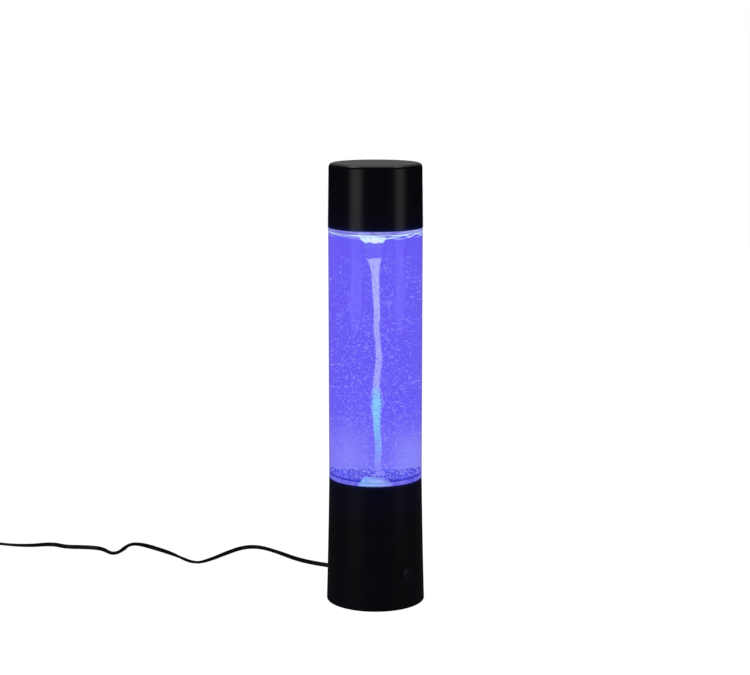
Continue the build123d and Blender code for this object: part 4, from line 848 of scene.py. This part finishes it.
# %% Finishes of the water
def water_wall():
    """The tube magnifies the far wall, so the pale fields are set half as far out there."""
    finish = lit("lit water wall")
    height, far_side = finish.part("Z"), finish.back_of_face()
    clouds = finish.noise(22, detail=5, stretch=(1, 1, 0.7), distortion=0.6)
    flecks = finish.noise(430, detail=3, roughness=0.75, stretch=(1, 1, 1.3), distortion=1.5).rise(0.56, 0.66)
    aside = finish.toward(toward_right) * (far_side + 1.0)
    fields = aside.between(-0.022, -0.014, 0.014) * 0.5 + aside.between(0.024, 0.034, 0.014)
    rising = finish.noise(30, detail=2, stretch=(1, 1, 0.25)).rise(0.45, 0.62) * height.rise(0.20, 0.13)
    haze = height.rise(0.175, 0.118) * 0.36 + fields * height.rise(0.158, 0.130) * 0.55 + rising * 0.22
    haze = (haze + clouds.rise(0.55, 0.75) * 0.25).math("MINIMUM", 1.0)
    colour = finish.mix(flecks * 0.5, finish.mix(haze, water_blue, water_haze), (0.25, 0.23, 1.0))
    glow = foot_glow(finish)
    finish.set(Emission_Color=finish.mix(glow, colour, glow_colour(finish)))
    near_share = (flecks * 0.3 + 0.25) * (height.rise(0.1175, 0.1300) * 0.85 + 0.15)
    return finish.set(Alpha=far_side.math("MAXIMUM", near_share).math("MAXIMUM", glow * 0.9)).material


def water_surface():
    finish = lit("water surface")
    waves = finish.noise(160, detail=2, stretch=(1, 1, 0.3), distortion=1.5)
    lines = waves.between(0.49, 0.51, 0.03)
    # painted reflection: a bright patch round the mouth, where the surface mirrors the lamps below
    patch = (finish.radius() + (waves - 0.5) * 0.008).rise(0.0165, 0.0135)
    colour = finish.mix(lines * 0.6, (0.27, 0.23, 0.80), (0.62, 0.80, 1.0))
    return finish.set(Emission_Color=finish.mix(patch, colour, white_cyan)).material


def water_funnel():
    """Bright where the bowl is lobed, nearly clear below it, and bright again from the ragged throat down."""
    finish = lit("vortex")
    height = finish.part("Z")
    wisps = finish.noise(300, detail=3, stretch=(1, 1, 0.6))
    colour = by_height(finish, height, [
        (0.00, (0.30, 0.30, 0.98)), (0.08, (0.24, 0.46, 0.95)), (0.15, (0.23, 0.62, 0.95)), (0.21, pale_cyan),
        (0.30, pale_cyan), (0.36, mid_violet)])
    colour = finish.mix(wisps.rise(0.5, 0.75) * 0.3, colour, (0.62, 0.66, 1.0))
    mottled = finish.mix(wisps.rise(0.48, 0.66), white_cyan, (0.28, 0.80, 0.96))
    core = (height + (wisps - 0.5) * 0.004).rise(0.2996, 0.2984)
    swags = finish.noise(75, detail=2, stretch=(1, 1, 0.1))
    lobes = (height + (wisps - 0.5) * 0.003 + (swags - 0.5) * 0.012).rise(0.3134, 0.3144)
    fading = height.rise(0.116, 0.129) * 0.7 + height.rise(0.1175, 0.1140) * 0.45 + 0.22
    finish.set(Emission_Color=finish.mix(height.rise(0.3080, 0.3081), colour, mottled))
    return finish.set(Alpha=(core * fading).math("MAXIMUM", lobes * 0.95).math("MAXIMUM", 0.03)).material


def water_underside():
    finish = lit("bubbles on the disc", (0.26, 0.25, 1.0))
    specks = finish.noise(700, detail=2, roughness=0.7)
    return finish.set(Alpha=specks.rise(0.57, 0.64) * 0.55).material


for finish in (water_wall(), water_surface(), water_funnel(), water_underside()):
    water.data.materials.append(finish)

# %% [markdown]
# ## Edge of the water and wet wall
#
# Where the turning water meets the tube, its edge is a bright line, and on one side wavy lines plait with
# it. Above the edge the wall is wet and carries the pale light of the surface. The lines are thin closed
# rings, z = edge - drop + swing sin(n a + p), that swell and thin out on their way round.

# %% Lines at the edge
wave_steps, line_sides = 720, 6
wave_turn = np.linspace(0, 2 * np.pi, wave_steps, endpoint=False)[:, None]
section = np.linspace(0, 2 * np.pi, line_sides, endpoint=False)[None, :]
from_camera = wave_turn - toward_camera
plaited = 0.5 + 0.5 * np.tanh(4 * (np.sin(from_camera) - 0.2))
crest = np.exp(-((np.sin(from_camera + 0.22) / 0.40) ** 2))
edge_points, edge_faces = [], []
edge_rings = [  # drop, swing, waves, phase, thickness, how strong it is on its way round, and its crests
    (-1.1, 0.2, 9, 0.3, 0.62, 0 * plaited + 1, 0.55), (0.0, 1.1, 15, 0.0, 0.55, plaited, 0),
    (0.5, 1.3, 11, 1.7, 0.60, plaited, 0), (1.8, 0.6, 13, 0.9, 0.28, plaited * 0.7 + 0.1, 0)]
for number, (drop, swing, waves, phase, thick, share, swelling) in enumerate(edge_rings):
    wave = np.sin(waves * wave_turn + phase + 0.8 * np.sin(3 * wave_turn))
    level = water_edge - drop + swing * wave * share
    width = thick * (0.55 + 0.45 * np.sin(7 * wave_turn + 2 * phase)) * (0.25 + 0.75 * share)
    width = width + swelling * crest
    ring_radius = water_radius - 0.06 + 0.11 * np.cos(section)
    edge_points.append(round_axis(ring_radius, wave_turn, level + width * np.sin(section)))
    ring_faces = grid_faces(wave_steps, line_sides, close_rows=True) + wave_steps * line_sides * number
    edge_faces += ring_faces.tolist()
edge_lines = new_piece("water_edge_lines", edge_points, edge_faces, "lamp", "lit_water")
edge_lines.data.materials.append(lit("bright edge", (0.62, 0.84, 1.0)).material)

# %% Wet wall
film_inside, film_outside, wet_from, wet_to = 36.93, 36.98, water_edge + edge_climb, tube_top - 0.1
wet_corners = [(film_inside, wet_from, 0), (film_outside, wet_from, 0), (film_outside, wet_to, 0),
               (film_inside, wet_to, 0)]
wet_wall = new_piece("wet_wall", *turned(rounded(wet_corners)), "lamp", "lit_water")
wet = lit("wet wall")
streaks = wet.noise(45, detail=4, stretch=(1, 1, 9), distortion=0.4)
wet.set(Emission_Color=wet.mix(streaks.rise(0.40, 0.65), (0.19, 0.17, 0.70), (0.42, 0.52, 0.93)))
wet.set(Alpha=streaks * 0.4 + 0.5)
wet_wall.data.materials.append(wet.material)

# %% [markdown]
# ## Bubbles
#
# Small bubbles whirl through all the water and show as short pale strokes, more of them low down, and some
# rest on the disc. One stroke is a bent tube with three sides; each gets its own place, tilt, length,
# thickness and bend. Many cling to the vortex, most of them along its cyan stretch, and some hang in
# strings round its bowl.

# %% Strokes of bubbles
chance = np.random.default_rng(7)


def strokes(name, middle, heading_turn, tilt, length, thick, bend, finish):
    """Three-sided tubes of five rings: middle + heading * length * s + lift * bend * (1 - 4 s^2), with s from
    -1/2 to 1/2. They head round the axis. The tilt is (mean, spread), length and thickness are (least, most),
    and the bend is a spread about nothing."""
    count = len(middle)
    tilt = chance.normal(*tilt, count)
    length, thick = chance.uniform(*length, count), chance.uniform(*thick, count)
    bend = chance.normal(0, bend, count)
    forward = np.cos(tilt)
    heading = np.stack([-np.sin(heading_turn) * forward, np.cos(heading_turn) * forward, np.sin(tilt)], -1)
    out = np.cross(heading, [0, 0, 1.0])
    out /= np.linalg.norm(out, axis=1, keepdims=True)
    lift = np.cross(out, heading)
    s = np.linspace(-0.5, 0.5, 5)[None, :, None]
    swell = np.sqrt(np.clip(1 - (1.9 * s) ** 2, 0.02, 1))[..., None]
    spine = middle[:, None] + heading[:, None] * length[:, None, None] * s
    spine = spine + lift[:, None] * bend[:, None, None] * (1 - 4 * s**2)
    side = np.linspace(0, 2 * np.pi, 3, endpoint=False)[None, None, :, None]
    round_it = np.cos(side) * out[:, None, None] + np.sin(side) * lift[:, None, None]
    points = spine[:, :, None] + thick[:, None, None, None] * swell * round_it
    first_point = 15 * np.arange(count)[:, None, None]
    faces = (grid_faces(5, 3) + first_point).reshape(-1, 4).tolist()
    faces += (np.array([[2, 1, 0], [12, 13, 14]]) + first_point).reshape(-1, 3).tolist()
    piece = new_piece(name, points, faces, "lamp", "lit_water", crease=180)
    piece.data.materials.append(finish.material)


bubble_count, resting_count, bubble_reach = 3400, 380, 36.0
bubble_turn = chance.uniform(0, 2 * np.pi, bubble_count)
bubble_radius = bubble_reach * np.sqrt(chance.uniform(0.02, 1, bubble_count))
bubble_height = 117 + 183 * chance.beta(0.92, 1.0, bubble_count)
bubble_height[:resting_count] = chance.uniform(113.6, seat_top, resting_count)
bubble_radius[:resting_count] *= 0.95
bubble_finish = lit("bubbles")
bubble_tint = bubble_finish.mix(bubble_finish.noise(500).rise(0.4, 0.6), (0.19, 0.17, 1.0), (0.36, 0.34, 1.0))
strokes("bubbles", round_axis(bubble_radius, bubble_turn, bubble_height), bubble_turn, (0, 0.9), (0.9, 2.6),
        (0.22, 0.42), 0.5, bubble_finish.set(Emission_Color=bubble_tint))

# %% Bubbles at the vortex
core_count, cyan_count, cyan_height = 1500, 500, 176
core_height = chance.uniform(120, 297, core_count)
core_height[:cyan_count] = chance.normal(cyan_height, 11, cyan_count)
spread = 0.55 + 0.7 * np.exp(-(((core_height - cyan_height) / 13) ** 2))
core_turn = chance.uniform(0, 2 * np.pi, core_count)
core_radius = read_off(funnel_stops, core_height) * 0.85 + spread * np.abs(chance.normal(0, 1, core_count))
core_middle = round_axis(core_radius, core_turn, core_height)
core_middle += round_axis(read_off(sway_stops, core_height), toward_right, 0)
core_finish = lit("bubbles at the vortex")
core_tint = by_height(core_finish, core_finish.part("Z"), [
    (0.00, (0.27, 0.27, 0.97)), (0.15, (0.20, 0.45, 0.93)), (0.21, pale_cyan), (0.31, pale_cyan),
    (0.37, mid_violet)])
strokes("vortex_bubbles", core_middle, core_turn, (0.15, 0.4), (0.8, 2.2), (0.16, 0.36), 0.3,
        core_finish.set(Emission_Color=core_tint))

# %% Strings of bubbles round the bowl, and sparkles at the foot
string_count, to_a_string = 9, 15
string_turn = np.repeat(toward_right + np.arange(string_count) * 2 * np.pi / string_count, to_a_string)
string_height = np.tile(np.linspace(314, 295, to_a_string), string_count)
string_height = string_height + chance.normal(0, 0.3, len(string_turn))
string_radius = 10.2 + chance.normal(0, 0.25, len(string_turn))
strokes("bubble_strings", round_axis(string_radius, string_turn, string_height), string_turn, (1.4, 0.2),
        (0.5, 1.1), (0.12, 0.24), 0.2, lit("strings of bubbles", (0.26, 0.25, 0.95)))

sparkle_count = 24  # half of them at each side of the picture
sparkle_sides = np.repeat([toward_right, toward_right - np.pi], sparkle_count // 2)
sparkle_turn = sparkle_sides + chance.normal(0, 0.16, sparkle_count)
sparkle_radius = 35.9 + chance.uniform(-0.4, 0.4, sparkle_count)
sparkle_height = chance.uniform(116.5, 121.0, sparkle_count)
strokes("sparkles", round_axis(sparkle_radius, sparkle_turn, sparkle_height), sparkle_turn, (0, 0.8),
        (0.8, 1.8), (0.25, 0.5), 0.3, lit("sparkles", (0.62, 0.66, 0.98)))

# %% [markdown]
# ## Foot of the tube: seat, disc and impeller
#
# The clear cup that the tube stands on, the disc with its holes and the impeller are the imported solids; they
# only get finishes. Lamps under the cup light them, so they glow like the water: a pale violet rim along
# the edge of the base, a deep blue disc with fine bubbles and a dark rim, and darker blue inside.

# %% Finishes at the foot
dressed = set()
deep_blue = (0.02, 0.02, 0.45)


def dress(material, *names):
    """Give the solids of these nodes this material."""
    dressed.update(names)
    for name in names:
        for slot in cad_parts[name].material_slots:
            slot.material = material


def lit_seat():
    finish = lit("lit seat")
    height = finish.part("Z")
    rim = height.rise(0.1130, 0.1124) * finish.radius().rise(0.0350, 0.0352)
    clouds = finish.noise(150, detail=3).rise(0.4, 0.7)
    pale = finish.mix(clouds, (0.12, 0.11, 0.80), (0.23, 0.21, 0.93))
    dark_line = height.between(0.1119, 0.1121, 0.0002) * 0.7
    glow = foot_glow(finish)
    colour = finish.mix(rim, (0.02, 0.02, 0.42), pale)
    colour = finish.mix(glow, colour, finish.mix(dark_line, glow_colour(finish), (0.02, 0.03, 0.25)))
    solid = (rim * 0.9).math("MAXIMUM", glow).math("MAXIMUM", height.rise(0.1096, 0.1094))
    return finish.set(Emission_Color=colour, Alpha=solid * 0.9 + 0.1).material


def lit_disc():
    finish = lit("lit disc")
    specks = finish.noise(900, detail=2, roughness=0.8)
    clouds = finish.noise(90, detail=3)
    colour = finish.mix(clouds.rise(0.4, 0.6), (0.036, 0.040, 0.60), (0.070, 0.076, 0.88))
    colour = finish.mix(specks.rise(0.55, 0.68) * 0.8, colour, (0.17, 0.18, 0.95))
    colour = finish.mix(finish.radius().rise(0.0325, 0.0338) * 0.8, colour, deep_blue)
    return finish.set(Emission_Color=finish.mix(specks.rise(0.45, 0.35) * 0.6, colour, deep_blue)).material


def lit_impeller():
    finish = Finish("lit impeller", Specular_IOR_Level=0.3, Emission_Strength=1.0)
    clouds = finish.noise(80, detail=3)
    finish.set(Base_Color=finish.mix(clouds, (0.70, 0.72, 0.75), (0.80, 0.82, 0.84)))
    finish.set(Roughness=clouds * 0.2 + 0.35)
    return finish.set(Emission_Color=finish.mix(clouds, (0.02, 0.02, 0.36), (0.05, 0.06, 0.52))).material


dress(lit_seat(), "tube_seat")
dress(lit_disc(), "flow_disc")
dress(lit_impeller(), "impeller")

# %% [markdown]
# ## The plug under the cap
#
# A milky clear plug with a soft ring closes the tube. The lit water shines into it, so its foot is pale
# violet where it shows over the water, and it turns grey-white further up.

# %% Finishes of the plug
def milky(name, glow_low, body):
    finish = Finish(name, Specular_IOR_Level=0.4, Emission_Strength=1.0)
    clouds = finish.noise(70, detail=4)
    near_water = finish.part("Z").rise(0.330, 0.3255)
    finish.set(Base_Color=finish.mix(clouds, body, tuple(1.15 * part for part in body)))
    finish.set(Roughness=clouds * 0.2 + 0.25)
    return finish.set(Emission_Color=finish.mix(near_water, (0, 0, 0), glow_low)).material


dress(milky("milky plug", (0.19, 0.16, 0.74), (0.10, 0.10, 0.14)), "cap_plug")
dress(milky("milky ring", (0.24, 0.21, 0.80), (0.12, 0.12, 0.16)), "plug_seal")

# %% [markdown]
# ## Finishes of what the base hides
#
# Everything else shows only from below or with the base taken apart. Plastics are moulded with a fine grain,
# screws and shafts have a brushed grain, the circuit boards have a green mask over their tracks. A row says
# the finish's name, its two colours and its numbers, and then the nodes that wear it.

# %% Plastics, rubber and wires
def moulded(name, dark, light, roughness, grain, gloss):
    finish = Finish(name, Specular_IOR_Level=gloss)
    finish.set(Base_Color=finish.mix(finish.noise(70, detail=4), dark, light))
    finish.set(Roughness=finish.noise(300) * 0.15 + roughness)
    return finish.bump(finish.noise(grain, detail=2), 0.02 * mm).material


moulded_rows = [
    (("inner black", (0.010, 0.010, 0.011), (0.020, 0.020, 0.022), 0.55, 1500, 0.3),
     ("bottom_cover", "switch_plunger", "button_switch", "motor_mount", "motor_end_cap", "magnet_carrier")),
    (("rubber", (0.012, 0.012, 0.012), (0.024, 0.024, 0.024), 0.75, 900, 0.2), ("rubber_feet",)),
    (("white plastic", (0.68, 0.68, 0.64), (0.78, 0.78, 0.74), 0.4, 1200, 0.3),
     ("board_parts", "thrust_washer", "plug_tongue")),
    (("tie vinyl", (0.006, 0.006, 0.0065), (0.014, 0.014, 0.015), 0.5, 1800, 0.3),
     ("coil_tie", "power_lead")),
    (("red wire", (0.35, 0.015, 0.015), (0.48, 0.03, 0.03), 0.4, 2000, 0.3), ("motor_leads",)),
    (("white wire", (0.62, 0.62, 0.60), (0.74, 0.74, 0.71), 0.4, 2000, 0.3), ("led_leads",))]
for finish_values, names in moulded_rows:
    dress(moulded(*finish_values), *names)

# %% Metals
def metal(name, dark, light, roughness, brushed):
    finish = Finish(name, Metallic=1.0)
    grain = finish.noise(800, detail=3, stretch=brushed)
    finish.set(Base_Color=finish.mix(grain, dark, light), Roughness=grain * 0.2 + roughness)
    return finish.bump(grain, 0.004 * mm).material


metal_rows = [
    (("steel", (0.50, 0.50, 0.51), (0.64, 0.64, 0.65), 0.22, (1, 1, 0.1)),
     ("cover_screws", "seat_screws", "impeller_pin", "mount_screws", "motor_screws", "motor_shaft")),
    (("zinc plate", (0.48, 0.48, 0.50), (0.60, 0.60, 0.61), 0.32, (0.15, 0.15, 1)), ("motor_can",)),
    (("nickel plate", (0.60, 0.58, 0.55), (0.70, 0.69, 0.66), 0.18, (1, 1, 1)),
     ("impeller_magnets", "drive_magnets")),
    (("brass", (0.58, 0.42, 0.17), (0.74, 0.58, 0.28), 0.28, (1, 1, 0.2)), ("motor_terminals",))]
for finish_values, names in metal_rows:
    dress(metal(*finish_values), *names)

# %% Circuit boards and lamps
def board_green():
    """Tracks are bands of a grid that soft noise switches on and off."""
    finish = Finish("circuit board", Specular_IOR_Level=0.5, Coat_Weight=0.3, Coat_Roughness=0.15)

    def bands(place, cycles, least):
        switch = finish.noise(cycles).rise(least, least + 0.02)
        return (place * 600).math("FRACT").between(0.4, 0.6, 0.05) * switch

    tracks = bands(finish.part("X") + finish.part("Z"), 110, 0.50)
    mask = tracks.math("MAXIMUM", bands(finish.part("Y"), 130, 0.52))
    finish.set(Base_Color=finish.mix(mask, (0.008, 0.085, 0.030), (0.020, 0.19, 0.070)))
    finish.set(Roughness=finish.noise(300) * 0.1 + 0.3)
    return finish.bump(mask, 0.03 * mm).material


def lamp_lens():
    finish = Finish("lamp lens", Specular_IOR_Level=0.5, Roughness=0.15, Emission_Strength=1.0)
    clouds = finish.noise(400, detail=2)
    finish.set(Base_Color=finish.mix(clouds, (0.70, 0.70, 0.76), (0.80, 0.80, 0.85)))
    return finish.set(Emission_Color=finish.mix(clouds, (0.22, 0.18, 0.85), (0.40, 0.36, 1.0))).material


dress(board_green(), "control_board", "led_board")
dress(lamp_lens(), "leds")
shown = {name for name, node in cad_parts.items() if not node.hide_render}
print("solids with no finish of their own:", sorted(shown - dressed))
